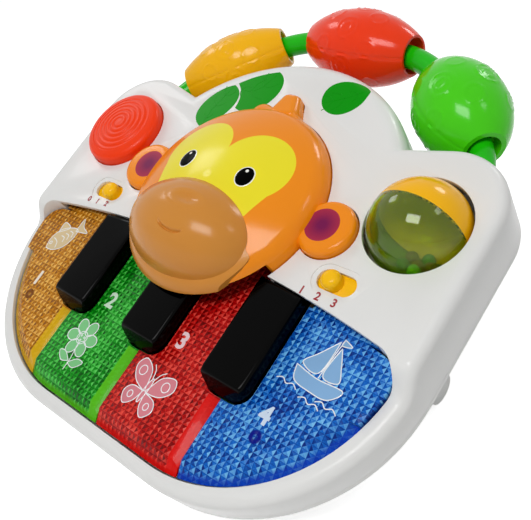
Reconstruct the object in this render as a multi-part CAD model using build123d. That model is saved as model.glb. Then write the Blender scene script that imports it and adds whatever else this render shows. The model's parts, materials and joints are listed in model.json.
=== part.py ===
from build123d import *
from math import acos, atan2, cos, degrees, hypot, radians, sin, sqrt, tan
import os

# A baby's electronic keyboard.  It is built flat and then stood up on its legs:
# in the flat frame the face panel is the plane z = 0, +X is the player's right,
# +Y points to the carrying handle and +Z points out of the face.

# ---- monkey head ----
head_r = 54.0
head_y = 26.4
head_height = 22.0
head_edge_r = 12.0
head_wall = 2.4
pocket_gap = 0.6
head_skirt = 5.0
chin_clearance = 5.0      # underside of the overhang above the face plane
head_skirt_y = 1.5        # the skirt stops short of the keys here
ear_stand = 7.5           # from the edge of the head to the middle of an ear
ear_x = head_r + ear_stand
ear_y = 28.4
ear_r = 14.2
ear_height = 4.5
inlay_x = ear_x - 1.5
inlay_y = ear_y + 0.2
inlay_r = 8.5
inlay_thickness = 1.0
tuft_left = 5.0
tuft_right = 5.0
tuft_root = 22.0
tuft_sweep = 5.5
tuft_waist_y = 79.5
tuft_bend_r = 8.0
tuft_tip_y = 90.0
tuft_tip_r = 3.5
tuft_bump_x = 12.0
tuft_bump_y = 75.5
tuft_bump_r = 6.2
tuft_height = 5.0
tuft_sink = 7.0           # how far the lock's root lies inside the head
tuft_edge_r = 2.0
ear_edge_r = 3.0
flange = 2.4
flange_thickness = 2.0
flange_gap = 0.3
flange_start_y = 8.0      # the head's flange stops short of the keys here
muzzle_half_x = 39.5
muzzle_half_y = 26.5
muzzle_y = 2.2
muzzle_waist = 3.4        # height at which the muzzle is widest
muzzle_top = 32.0
muzzle_wall = 2.2
eye_x = 19.4
eye_y = 32.3
eye_half_x = 4.4
eye_half_y = 5.0
mask_thickness = 1.0
brow_x = 18.7             # the pale face is two round brows
brow_y = 39.0
brow_r = 19.3
cheek_x = 30.0            # and narrows down to here
cheek_y = 14.5
stem_r = 6.0
stem_play = 0.06
guide_wall = 2.0
guide_top = -7.9
guide_floor = 1.5
pad_height = 2.8          # rubber pad that springs the head and the button back
pad_r = 5.0

# ---- round button (left) and spinner ball (right) ----
round_y = 45.0
round_hole_r = 24.3
ear_web = 1.0             # what is left of the face between an ear and a round hole
ear_reach = ear_r + pocket_gap + ear_web + round_hole_r
round_x = ear_x + sqrt(ear_reach ** 2 - (round_y - ear_y) ** 2)
button_gap = 0.6
button_r = round_hole_r - button_gap
button_flange = 1.6
button_side = 3.0
button_height = 9.2
button_edge_r = 3.5
button_wall = 2.2
ball_gap = 1.3
ball_r = round_hole_r - ball_gap
ball_z = -5.0
ball_side_room = 2.0
ball_wall = 1.8
ball_turn = 10.0          # the parting plane leans to the handle by this
pivot_r = 2.0
pivot_play = 0.06
pivot_reach = 4.5
bearing_thickness = 3.0
rattle_r = 3.2
rattle_spread = 21.0      # degrees from the lowest ball to the ring of five

# ---- casing ----
side_rim = 8.2            # from the round holes to the sides of the casing
half_width = round_x + round_hole_r + side_rim
front_reach = 104.5       # from the origin to the front edge
case_depth = 33.0         # face panel to flat back
split_depth = 27.0        # where the front cover ends and the rear cover starts
wall = 2.5
front_corner_r = 88.5
lobe_corner_r = 30.0
lobe_outer_y = 95.0       # lobe line, at the side of the casing
lobe_inner_y = 63.0       # lobe line, on the centre line
dome_r = 88.0
dome_y = 30.0             # centre of the dome above the face
dome_edge_r = 8.5
dome_overlap = 10.0       # the dome's block starts this far below its centre
face_edge_r = 5.0
back_edge_r = 4.0
lip_height = 3.0
lip_thickness = 1.5
slip = 0.15               # gap between a lip and its wall
leaf_depth = 0.8
leaf_zone_y = 50.0        # the leaves all lie beyond this line
leaf_zone_depth = 12.0
clear = 10.0              # how far cutting shapes reach past what they cut

# ---- sunk key tray ----
rim_drop = 10.5           # how far the rim round the keys lies below the face
drop_start_y = -10.0
drop_end_y = -27.0
tray_side_rim = 8.0
tray_front_rim = 7.0
tray_half_width = half_width - tray_side_rim
tray_front_y = tray_front_rim - front_reach
tray_corner_r = 82.5
tray_top_corner_r = 12.0
tray_arch_r = 643.0       # the face ends over the keys in a shallow arch
tray_skirt = 2.0
tray_skirt_bottom = 15.5

# ---- keys ----
end_key_width = 66.7      # of the first and the last colour key
key_pitch = tray_half_width - end_key_width
black_centres = [-key_pitch, 0.0, key_pitch]
key_gap = 0.8
key_top = 8.0             # depth of the colour keys' tops below the face
key_bottom = 12.5
key_wall = 2.0
nose_taper = 58.0         # how far the fronts of the keys lean back
nose_end_y = -40.0
slope_width = 6.0         # the slope along a colour key's right side
slope_drop = 2.2
black_width = 25.5
black_front_y = -57.0
black_corner_r = 8.0
black_slope = 5.0         # the front of a black key leans back by this much
black_edge_r = 2.0
rod_y = 4.0
rod_z = -12.0
rod_r = 1.5
rod_play = 0.06
barrel_r = 2.8
bracket_width = 1.6
bracket_reach = 4.0       # from the rod's centre to a bracket's front and back
tail_side_room = 12.5     # from the tray's side to the outer keys' tails
black_tail = 10.2         # half width of a black key's tail
colour_tail = 15.6        # from a black key's middle to the next colour key's tail
outer_tail_x = tray_half_width - tail_side_room
bracket_x = (black_tail + colour_tail) / 2
bracket_end_x = outer_tail_x + bracket_x - black_tail
bracket_places = [-bracket_end_x, bracket_end_x]
bracket_places += [centre + side * bracket_x for centre in black_centres for side in (-1, 1)]
plunger_r = 2.6
black_top = 0.3
tail_start_y = -9.0
tail_spans = {
    "amber_key": (-outer_tail_x, -key_pitch - colour_tail),
    "left_black_key": (-key_pitch - black_tail, -key_pitch + black_tail),
    "green_key": (-key_pitch + colour_tail, -colour_tail),
    "middle_black_key": (-black_tail, black_tail),
    "red_key": (colour_tail, key_pitch - colour_tail),
    "right_black_key": (key_pitch - black_tail, key_pitch + black_tail),
    "blue_key": (key_pitch + colour_tail, outer_tail_x),
}

# ---- circuit board and contact rubber ----
contact_margin = 5.0      # from the outer contacts to the edges of the board
board_back_y = -14.0
board_top = -20.0
board_thickness = 1.6
mat_thickness = 1.2
dome_foot_r = 4.2
dome_top_r = 2.8
dome_height = 2.8
outer_contact = 5.7       # from an outer black key's middle to the outer contacts
inner_contact_x = 20.0
outer_contact_x = key_pitch + outer_contact
colour_contacts = [-outer_contact_x, -inner_contact_x, inner_contact_x, outer_contact_x]
colour_contact_y = -64.0
board_half_x = outer_contact_x + contact_margin
board_front_y = colour_contact_y - contact_margin
black_contact_y = -40.0
seat_gap = 0.1
chip_place = (8.0, -26.0)
chip_r = 7.0
chip_height = 1.6
resistor_places = [-40.0, -34.0, 34.0, 40.0]
resistor_y = -60.0
resistor_half = 2.0
resistor_width = 3.0
resistor_height = 1.2
board_boss_r = 3.0
board_boss_floor = 2.0
board_screw_bite = 5.0
board_screw_head = 1.2

# ---- slide switches ----
slot_inset = 51.1         # from the side of the casing to the middle of a slot
slot_x = half_width - slot_inset
slot_y = 7.7
slot_length = 20.0
slot_width = 10.0
slot_recess = 0.6
slot_recess_margin = 2.4
knob_r = 4.7
knob_height = 3.8
knob_offset = 2.2         # from the middle of its slot to where a knob stands
slider_plate = 1.4
slider_margin = 0.6
slider_gap = 0.3
slide_range = slot_length - slot_width
switch_boss_x = 6.5       # from the slot's middle to each boss of its board
switch_boss_y = 15.4
switch_boss_r = 1.4
switch_board_z = -7.2
switch_board_thickness = 1.4
switch_body_height = 2.4
peg_r = 1.0
peg_y = 11.2              # the peg that a knob pushes its switch with
peg_gap = 0.4
peg_room = 0.5
switch_half_x = 8.8
switch_half_y = 2.4
switch_board_edge = 1.6   # from its screw bosses to the edge of a switch's board
knob_edge_r = 3.0

# ---- handle and its beads ----
handle_z = -19.0
tube_r = 6.0
bead_angle = 40.8         # from the middle bead to each outer bead
bend_r = 61.0             # bend between two beads
end_bend_r = 40.0         # bend between an outer bead and its socket
end_bend_reach = 28.0     # from an outer bead's middle to the corner of that bend
end_slope = 65.5          # how steeply the handle goes down into its sockets
end_depth = 19.8          # from the lobe line at the casing's side down to the tube's end
socket_wall = 1.9
socket_run = 16.0         # how much of the end run lies in the socket
bead_bearing = 18.0       # half length that a bead turns on
bead_half_lengths = {"yellow_bead": 31.5, "red_bead": 32.5, "green_bead": 28.5}
bead_radii = {"yellow_bead": 18.6, "red_bead": 20.8, "green_bead": 23.2}
bead_gap = 3.8            # between the widest bead and the dome
handle_rise = 1.0
handle_r = dome_r + bead_gap + max(bead_radii.values())
handle_y = dome_y + handle_rise
bead_wall = 2.0
bead_end_r = 10.8         # radius of a bead's cut-off ends
bead_web = 2.0
bead_play = 0.08
bead_mouth_gap = 0.5

# ---- folding legs and feet ----
leg_inset = 30.5          # from the side of the casing to the outer face of a leg
leg_face_x = half_width - leg_inset
leg_thickness = 7.0
leg_r = 8.7
leg_pivot_y = 12.0
leg_pivot_z = -27.0
leg_end_y = 10.15
leg_end_z = -102.75
leg_pin_r = 2.5
leg_pin_play = 0.06
channel_gap = 0.6
channel_wall = 2.0
foot_x = 50.0
foot_length = 28.0
foot_y = -94.0
foot_r = 6.5
foot_drop = 5.8           # centre of the foot's curve to the floor

# ---- battery box and speaker ----
cell_r = 7.1
cell_length = 49.8
cell_pitch = 15.0
cell_gap = 0.6
cap_r = 2.6
cap_length = 1.2
box_wall = 1.5
box_front_y = 9.0
contact_room = 2.4
contact_thickness = 0.5
plate_half = 6.1          # half width of a contact plate
spring_foot_r = 3.6
spring_tip_r = 1.6
door_thickness = 2.0
door_boss_z = -23.0
door_gap = 0.4
door_side_gap = 0.3
door_screw_y = 4.0
door_screw_length = 6.0
door_tab = 4.5            # half width of the tab with the door's screw
speaker_x = -50.0
speaker_y = 46.0
speaker_r = 17.0
speaker_height = 11.0
grille_slot = 2.2
grille_pitch = 5.0
grille_rim = 3.0
speaker_seat = 4.0        # height of the ring that holds the speaker
speaker_rim = 2.0
magnet_height = 2.5
magnet_r = 9.0
magnet_lip = 1.0

# ---- fasteners ----
screw_r = 1.5
screw_head_r = 2.8
screw_head_height = 1.8
screw_head_sink = 0.2
screw_head_gap = 0.1
cross_width = 0.7
screw_length = 10.0
boss_r = 3.6
board_screw_r = 1.1
board_screw_x = board_half_x - 4.5
board_screw_places = [(side * board_screw_x, y) for y in (-52.0, -19.0) for side in (-1, 1)]
lobe_screw = 68.5         # from the side of the casing to the screws by the dome
side_screw = 15.5         # and to the screws beside the keys
top_screw = 11.0          # from the edge of the dome to its screw
screw_places = [(0, dome_y + dome_r - top_screw)]
screw_places += [(side * (half_width - lobe_screw), 72.0) for side in (-1, 1)]
screw_places += [(side * (half_width - side_screw), 14.0) for side in (-1, 1)]

colour_keys = ["amber_key", "green_key", "red_key", "blue_key"]
black_keys = ["left_black_key", "middle_black_key", "right_black_key"]
parts = {}


def block(x0, x1, y0, y1, z0, z1):
    """A box between two corners."""
    middle = ((x0 + x1) / 2, (y0 + y1) / 2, (z0 + z1) / 2)
    return Pos(*middle) * Box(abs(x1 - x0), abs(y1 - y0), abs(z1 - z0))


def rod(x, y, z0, z1, r):
    """An upright cylinder from z0 to z1."""
    return Pos(x, y, (z0 + z1) / 2) * Cylinder(r, abs(z1 - z0))


def cross_rod(x0, x1, y, z, r):
    """A cylinder along X."""
    return Pos((x0 + x1) / 2, y, z) * Rot(0, 90, 0) * Cylinder(r, abs(x1 - x0))


def tower(sketch, z0, z1):
    """A flat outline raised between two heights."""
    return extrude(Pos(0, 0, min(z0, z1)) * sketch, amount=abs(z1 - z0))


def edges_at(shape, z):
    """All edges that lie flat at one height."""
    return [e for e in shape.edges() if abs(e.bounding_box().min.Z - z) < 1e-3
            and abs(e.bounding_box().max.Z - z) < 1e-3]


# ================= casing =================

def slab_outline(inset=0.0):
    """Outline of the casing without its dome."""
    slope = (lobe_outer_y - lobe_inner_y) / half_width
    side_x = half_width - inset
    front_y = -front_reach + inset
    inner_y = lobe_inner_y - inset * hypot(1, slope)
    outer_y = inner_y + slope * side_x
    corners = [(0, inner_y), (side_x, outer_y), (side_x, front_y), (-side_x, front_y),
               (-side_x, outer_y)]
    face = make_face(Polyline(*corners, close=True))
    top = [v for v in face.vertices() if abs(v.X) > 1 and v.Y > 0]
    face = fillet(top, lobe_corner_r - inset)
    bottom = [v for v in face.vertices() if v.Y < front_y + 0.01]
    return fillet(bottom, front_corner_r - inset)


def dome_solid(inset, z0, z1):
    """The round part of the casing above the face, cut clear of the keys."""
    keep = block(-dome_r, dome_r, dome_y - dome_overlap, dome_y + dome_r, z0 - 1, z1 + 1)
    return rod(0, dome_y, z0, z1, dome_r - inset) & keep


def rim_cutter(lower=0.0):
    """What is cut away above the sunk rim, seen from the side and drawn along X."""
    mid_y = (drop_start_y + drop_end_y) / 2
    fall = Bezier((drop_start_y, -lower), (mid_y, -lower), (mid_y, -rim_drop - lower),
                  (drop_end_y, -rim_drop - lower))
    far_y = -front_reach - clear
    rest = Polyline((drop_end_y, -rim_drop - lower), (far_y, -rim_drop - lower), (far_y, clear),
                    (drop_start_y, clear), (drop_start_y, -lower))
    face = make_face(Plane.YZ * (fall + rest))
    return extrude(face, amount=half_width + clear, both=True)


def front_block(inset, top, bottom, edge_r, dome_r_edge, lower):
    """The front half of the casing as a full block, with rounded face edges."""
    slab = tower(slab_outline(inset), bottom, top) - rim_cutter(lower)
    dome = dome_solid(inset, bottom, top)
    if edge_r:
        side_less = [e for e in slab.edges() if e.bounding_box().min.Z > -rim_drop - lower - 0.01]
        slab = fillet(side_less, edge_r)
    rim = [e for e in edges_at(dome, top) if e.bounding_box().size.Y > dome_r / 2]
    arc = [e for e in rim if e.geom_type == GeomType.CIRCLE]
    dome = fillet(arc, dome_r_edge)
    return slab + dome


def pocket_outline(grow=0.0):
    """The head's outline where it passes through the face."""
    skull = Pos(0, head_y) * Circle(head_r + grow)
    ears = [Pos(side * ear_x, ear_y) * Circle(ear_r + grow) for side in (-1, 1)]
    return skull + ears + tuft_outline(grow)


def tuft_outline(grow=0.0):
    """The lock of hair on top of the head and the small bump beside it."""
    root_y = head_y + head_r - tuft_sink
    left = -tuft_left - grow
    right = tuft_right + grow
    top_y = tuft_tip_y + grow
    corners = [(left - 3, root_y), (tuft_root + grow, root_y), (right + tuft_sweep, tuft_waist_y),
               (right, top_y), (left, top_y - 1)]
    face = make_face(Polyline(*corners, close=True))
    tip = [v for v in face.vertices() if v.Y > top_y - 1.5]
    face = fillet(tip, tuft_tip_r + grow)
    bend = [v for v in face.vertices() if abs(v.X - right - tuft_sweep) < 0.01]
    face = fillet(bend, tuft_bend_r)
    return face + Pos(-tuft_bump_x, tuft_bump_y) * Circle(tuft_bump_r + grow)


def tray_outline(grow=0.0):
    """Outline of the opening that the keys lie in."""
    corner_x = tray_half_width - tray_corner_r
    corner_y = tray_front_y + tray_corner_r
    middle = Pos(0, tray_front_y / 2) * Rectangle(2 * corner_x, -tray_front_y + 2 * grow)
    lower = [Pos(side * corner_x, corner_y) * Circle(tray_corner_r + grow) for side in (-1, 1)]
    arch = Pos(0, -tray_arch_r) * Circle(tray_arch_r + grow)
    face = (middle + lower) & arch
    top = [v for v in face.vertices() if v.Y > corner_y and abs(v.X) > tray_half_width - 5]
    return fillet(top, tray_top_corner_r + grow)


def slot_outline(side, grow=0.0):
    return Pos(side * slot_x, slot_y) * SlotOverall(slot_length + 2 * grow, slot_width + 2 * grow)


def dome_points(*places):
    """Points given by their angle from the handle's side and their depth inside the dome's edge."""
    reach = [(radians(turn), dome_r - depth) for turn, depth in places]
    return [(r * sin(turn), dome_y + r * cos(turn)) for turn, r in reach]


def leaf_sketches():
    """Three leaves by the dome's edge, with curved sides that meet in points."""
    low = make_face(Spline(*dome_points((-57.7, 30), (-54.6, 15.6), (-47.4, 11.2), (-36.6, 10.8)))
                    + Spline(*dome_points((-36.6, 10.8), (-35.3, 23.1), (-44.3, 30.7), (-57.7, 30))))
    high = make_face(Spline(*dome_points((-35, 10.5), (-28, 9.3), (-16.8, 8.6)))
                     + Spline(*dome_points((-16.8, 8.6), (-12.6, 21.4), (-22.1, 33.5), (-36.5, 28.3)))
                     + Spline(*dome_points((-36.5, 28.3), (-33.8, 20.6), (-35, 10.5))))
    right = make_face(Spline(*dome_points((25.2, 3.5), (16.2, 5.7), (10.1, 13.9), (13, 23.4),
                                          (25, 24), (28.4, 17.5), (25.2, 3.5))))
    return [low, high, right]


def handle_points():
    """Corners of the handle's centre line, from its left end to its right end."""
    top_y = handle_y + handle_r
    near = (handle_r * tan(radians(bead_angle / 2)), top_y)
    turn = radians(bead_angle)
    bead = (handle_r * sin(turn), handle_y + handle_r * cos(turn))
    corner = (bead[0] + end_bend_reach * cos(turn), bead[1] - end_bend_reach * sin(turn))
    slope = radians(end_slope)
    run = (corner[1] - lobe_outer_y + end_depth) / sin(slope)
    end = (corner[0] + run * cos(slope), corner[1] - run * sin(slope))
    right = [near, corner, end]
    left = [(-x, y) for x, y in reversed(right)]
    return [(x, y, handle_z) for x, y in left + right]


def handle_path():
    bends = [end_bend_r, bend_r, bend_r, end_bend_r]
    return FilletPolyline(*handle_points(), radius=bends)


def bead_spots():
    """Middle and direction of each bead's straight run."""
    turn = radians(bead_angle)
    x = handle_r * sin(turn)
    y = handle_y + handle_r * cos(turn)
    spots = {"yellow_bead": ((-x, y), (cos(turn), sin(turn)))}
    spots["red_bead"] = ((0, handle_y + handle_r), (1, 0))
    spots["green_bead"] = ((x, y), (cos(turn), -sin(turn)))
    return spots


def socket_rod(side, r, start, length):
    """A cylinder on the end run of the handle, measured back from the tube's end."""
    slope = radians(end_slope)
    x, y, z = handle_points()[-1]
    back = (x - start * cos(slope), y + start * sin(slope))
    face = Plane(origin=(side * back[0], back[1], z), z_dir=(side * cos(slope), -sin(slope), 0))
    return extrude(face * Circle(r), amount=length)


def screw_seat():
    """Height of the face that a case screw's head bears on."""
    return -case_depth + screw_head_height


def front_cover(skin):
    outer = front_block(0, 0, -split_depth, face_edge_r, dome_edge_r, 0)
    shell = outer - front_block(wall, -wall, -split_depth - 1, 0, dome_edge_r - wall, wall)
    skirt = tower(tray_outline(tray_skirt), -tray_skirt_bottom, -wall / 2)
    skirt -= rim_cutter(wall / 2)
    skirt -= block(-outer_tail_x - 1, outer_tail_x + 1, drop_start_y - 4, 5,
                   -tray_skirt_bottom - 1, -wall)
    cover = shell + skirt - tower(tray_outline(), -split_depth - 1, 1)
    top = -wall / 2
    for x, y in screw_places:
        cover += rod(x, y, -split_depth, top, boss_r)
        cover -= rod(x, y, -split_depth - 1, screw_seat() + screw_length + 1, screw_r)
    for side in (-1, 1):
        near = round_x + side * (ball_r + ball_side_room)
        far = near + side * bearing_thickness
        cover += block(near, far, round_y - 2 * pivot_r, round_y + 2 * pivot_r,
                       ball_z - 2 * pivot_r, top)
        cover -= cross_rod(near, far, round_y, ball_z, pivot_r + pivot_play)
        for foot in (-1, 1):
            x = side * slot_x + foot * switch_boss_x
            cover += rod(x, switch_boss_y, switch_board_z, top, switch_boss_r)
        cover += socket_rod(side, tube_r + socket_wall, socket_run, socket_run + socket_wall) & outer
        cover -= socket_rod(side, tube_r, 2 * socket_run, 2 * socket_run)
        cover -= rod(side * round_x, round_y, -wall - 1, 1, round_hole_r)
        cover -= tower(slot_outline(side), -wall - 1, 1)
        cover -= tower(slot_outline(side, slot_recess_margin), -slot_recess, 1)
    cover -= tower(pocket_outline(pocket_gap), -wall - 1, 1)
    return cover - skin


def leaf_skins():
    """The leaves, as inlays in the skin of the front cover."""
    outer = front_block(0, 0, -split_depth, face_edge_r, dome_edge_r, 0)
    inner = front_block(leaf_depth, -leaf_depth, -split_depth - 1, 0, dome_edge_r - leaf_depth,
                        leaf_depth)
    skin = (outer - inner) & block(-half_width, half_width, leaf_zone_y, dome_y + dome_r,
                                   -leaf_zone_depth, 1)
    leaves = [skin & tower(sketch, -leaf_zone_depth, 1) for sketch in leaf_sketches()]
    return Compound(children=[solid for leaf in leaves for solid in leaf.solids()])


def rear_outline(inset=0.0):
    """Outline of the whole casing, dome included."""
    dome = Pos(0, dome_y) * Circle(dome_r - inset)
    dome &= Pos(0, dome_y + dome_r / 2) * Rectangle(2 * dome_r, dome_r)
    return slab_outline(inset) + dome


def channel(side, grow, z0, z1):
    """The space that a folded leg lies in."""
    inner_x = leg_face_x - leg_thickness - channel_gap - grow
    outer_x = leg_face_x + channel_gap + grow
    back_y = leg_pivot_y + leg_r + channel_gap + grow
    front_y = leg_pivot_y - leg_length() - leg_r - channel_gap - grow
    return block(side * inner_x, side * outer_x, front_y, back_y, z0, z1)


def leg_length():
    return hypot(leg_end_y - leg_pivot_y, leg_end_z - leg_pivot_z)


def box_half_x(extra=0.0):
    """Half width inside the battery box."""
    return cell_pitch + cell_r + cell_gap + extra


def box_back_y():
    return box_front_y + 2 * box_wall + 2 * contact_room + cell_length


def cell_z():
    return door_inner_z() + door_gap + cell_r


def door_inner_z():
    return -case_depth + door_thickness


def box_top_z():
    return cell_z() + cell_r + cell_gap + box_wall


def rear_cover():
    cover = tower(rear_outline(), -case_depth, -split_depth)
    cover = fillet(edges_at(cover, -case_depth), back_edge_r)
    floor_z = -case_depth + wall
    cover -= tower(rear_outline(wall), floor_z, -split_depth + 1)
    lip = tower(rear_outline(wall + slip) - rear_outline(wall + slip + lip_thickness), floor_z,
                -split_depth + lip_height)
    lip &= block(-half_width, half_width, -front_reach, dome_y + dome_r, floor_z, 0)
    for side in (-1, 1):
        lip -= socket_rod(side, tube_r + socket_wall + slip, 2 * socket_run, 3 * socket_run)
    cover += lip
    for x, y in screw_places:
        cover -= rod(x, y, -case_depth - 1, screw_seat(), screw_head_r)
        cover -= rod(x, y, -case_depth - 1, 0, screw_r)
    for side in (-1, 1):
        cover += channel(side, channel_wall, -case_depth, leg_pivot_z + leg_r + channel_gap
                         + channel_wall)
        cover -= channel(side, 0, -case_depth - 10, leg_pivot_z + leg_r + channel_gap)
        inner_x = leg_face_x - leg_thickness - channel_gap - channel_wall
        outer_x = leg_face_x + channel_gap + channel_wall
        cover -= cross_rod(side * inner_x, side * outer_x, leg_pivot_y, leg_pivot_z, leg_pin_r)
    for x in bracket_places:
        cover += block(x - bracket_width / 2, x + bracket_width / 2, rod_y - bracket_reach,
                       rod_y + bracket_reach, floor_z, rod_z + barrel_r)
        cover -= cross_rod(x - bracket_width, x + bracket_width, rod_y, rod_z, rod_r)
    for x, y in board_screw_places:
        cover += rod(x, y, floor_z, board_top - board_thickness, board_boss_r)
        cover -= rod(x, y, floor_z + board_boss_floor, 0, board_screw_r)
    cover += rod(speaker_x, speaker_y, floor_z, floor_z + speaker_seat, speaker_r + box_wall + slip)
    cover -= rod(speaker_x, speaker_y, floor_z, floor_z + speaker_seat + 1, speaker_r + slip)
    for step in range(-2, 3):
        y = step * grille_pitch
        half = sqrt((speaker_r - grille_rim) ** 2 - y ** 2)
        slot = Pos(speaker_x, speaker_y + y) * SlotOverall(2 * half, grille_slot)
        cover -= tower(slot, -case_depth - 1, floor_z + 1)
    cover += block(-box_half_x(box_wall), box_half_x(box_wall), box_front_y, box_back_y(),
                   -case_depth, box_top_z())
    cover -= block(-box_half_x(), box_half_x(), box_front_y + box_wall, box_back_y() - box_wall,
                   -case_depth - 1, box_top_z() - box_wall)
    cover += rod(0, door_screw_y, floor_z - 0.5, door_boss_z, boss_r)
    cover -= door_block(door_side_gap, -case_depth - 1)
    cover -= rod(0, door_screw_y, -case_depth, door_boss_z - 1, screw_r + stem_play)
    for x, y, low, r in guide_places():
        cover += rod(x, y, low, guide_top, r + stem_play + guide_wall)
        cover -= rod(x, y, low + guide_floor, guide_top + 1, r + stem_play)
    return cover


def guide_places():
    """The two guides: the head's on the battery box and the button's on the floor."""
    head = (0, head_y, box_top_z() - guide_floor, stem_r)
    button = (-round_x, round_y, -case_depth + wall, stem_r)
    return [head, button]


def door_block(grow, bottom):
    """The battery door with its screw tab."""
    bear = box_wall - door_side_gap
    half = box_half_x(bear) + grow
    plate = block(-half, half, box_front_y + box_wall - bear - grow,
                  box_back_y() - box_wall + bear + grow, bottom, door_inner_z())
    tab = block(-door_tab - grow, door_tab + grow, door_screw_y - door_tab - grow,
                box_front_y + box_wall, bottom, door_inner_z())
    return plate + tab


def battery_box():
    parts["rear_cover"] = rear_cover()
    door = door_block(0, -case_depth)
    seat_z = -case_depth + screw_head_height
    door -= rod(0, door_screw_y, -case_depth - 1, seat_z, screw_head_r)
    door -= rod(0, door_screw_y, -case_depth - 1, 0, screw_r)
    parts["battery_door"] = door
    parts["battery_door_screw"] = screw(0, door_screw_y, seat_z, door_screw_length)
    cells = []
    plates = []
    front_y = box_front_y + box_wall
    back_y = box_back_y() - box_wall
    low_y = front_y + contact_room
    for step in (-1, 0, 1):
        x = step * cell_pitch
        turn = 1 if step else -1
        cell = Pos(x, low_y + cell_length / 2, cell_z()) * Rot(90, 0, 0) * Cylinder(cell_r, cell_length)
        cap_y = low_y - cap_length / 2 if turn > 0 else low_y + cell_length + cap_length / 2
        cap = Pos(x, cap_y, cell_z()) * Rot(90, 0, 0) * Cylinder(cap_r, cap_length)
        cells.append(cell + cap)
        for y, outward in ((front_y, 1), (back_y, -1)):
            plate = block(x - plate_half, x + plate_half, y, y + outward * contact_thickness,
                          cell_z() - plate_half, cell_z() + plate_half)
            reach = contact_room - contact_thickness
            reach -= cap_length if outward == turn else 0
            start = y + outward * contact_thickness
            knob = Pos(x, start + outward * reach / 2, cell_z()) * Rot(90 * outward, 0, 0)
            plates.append(plate + knob * Cone(spring_foot_r, spring_tip_r, reach))
    parts["battery_cells"] = Compound(children=cells)
    parts["battery_contacts"] = Compound(children=plates)
    back = -case_depth + wall
    drive = rod(speaker_x, speaker_y, back, back + speaker_rim, speaker_r)
    cone_height = speaker_height - speaker_rim - magnet_height
    cone = Pos(speaker_x, speaker_y, back + speaker_rim + cone_height / 2)
    drive += cone * Cone(speaker_r - speaker_rim, magnet_r, cone_height)
    drive += rod(speaker_x, speaker_y, back + speaker_height - magnet_height, back + speaker_height,
                 magnet_r + magnet_lip)
    parts["speaker"] = drive


def screw(x, y, seat, length):
    """A pan-head screw pointing up from its seat, with a cross recess."""
    low = seat - screw_head_height + screw_head_sink
    body = rod(x, y, low, seat, screw_head_r - screw_head_gap)
    body += rod(x, y, seat, seat + length, screw_r)
    for turn in (0, 90):
        arm = Pos(x, y, low) * Rot(0, 0, turn)
        body -= arm * Box(2 * screw_r, cross_width, 2 * cross_width)
    return body


# ================= keys =================

def key_plan(low_x, high_x, inset=0.0):
    """Plan of a colour key with room for the black keys."""
    side = key_gap / 2 + inset
    column = block_plan(low_x + side, high_x - side, tray_front_y - 5, rod_y)
    face = tray_outline(-key_gap - inset) & column
    for centre in black_centres:
        face -= black_plan(centre, key_gap + inset)
    return face


def block_plan(x0, x1, y0, y1):
    return Pos((x0 + x1) / 2, (y0 + y1) / 2) * Rectangle(x1 - x0, y1 - y0)


def black_plan(centre, grow=0.0):
    """Plan of a black key, with its front corners rounded."""
    half = black_width / 2 + grow
    face = block_plan(centre - half, centre + half, black_front_y - grow, rod_y + 10)
    front = [v for v in face.vertices() if v.Y < 0]
    return fillet(front, black_corner_r + grow)


def tail(x0, x1):
    """The part of a key that runs back under the face to the rod."""
    strap = block(x0, x1, tail_start_y, rod_y, -key_bottom, -key_top)
    barrel = cross_rod(x0, x1, rod_y, rod_z, barrel_r)
    return strap + barrel


def finish_key(name, body, inner, tail_shape, contact_x, contact_y, top):
    key = body - inner + tail_shape
    key -= cross_rod(-half_width, half_width, rod_y, rod_z, rod_r + rod_play)
    dome_top = board_top + mat_thickness + dome_height
    key += rod(contact_x, contact_y, dome_top + seat_gap, top - key_wall / 2, plunger_r)
    parts[name] = key
    foot = rod(contact_x, contact_y, board_top, board_top + mat_thickness, dome_foot_r)
    cone = Pos(contact_x, contact_y, board_top + mat_thickness + dome_height / 2)
    parts[name + "_dome"] = foot + cone * Cone(dome_foot_r, dome_top_r, dome_height)


def side_slope(edge_x, lower):
    """What the slope along a colour key's right side cuts away."""
    top = -key_top - lower
    face = make_face(Plane.XZ * Polyline((edge_x - slope_width - lower, top), (edge_x + 1, top),
                                         (edge_x + 1, top - slope_drop), (edge_x, top - slope_drop),
                                         close=True))
    end = black_front_y - key_gap
    return Pos(0, end, 0) * extrude(face, amount=front_reach, dir=(0, -1, 0))


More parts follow.
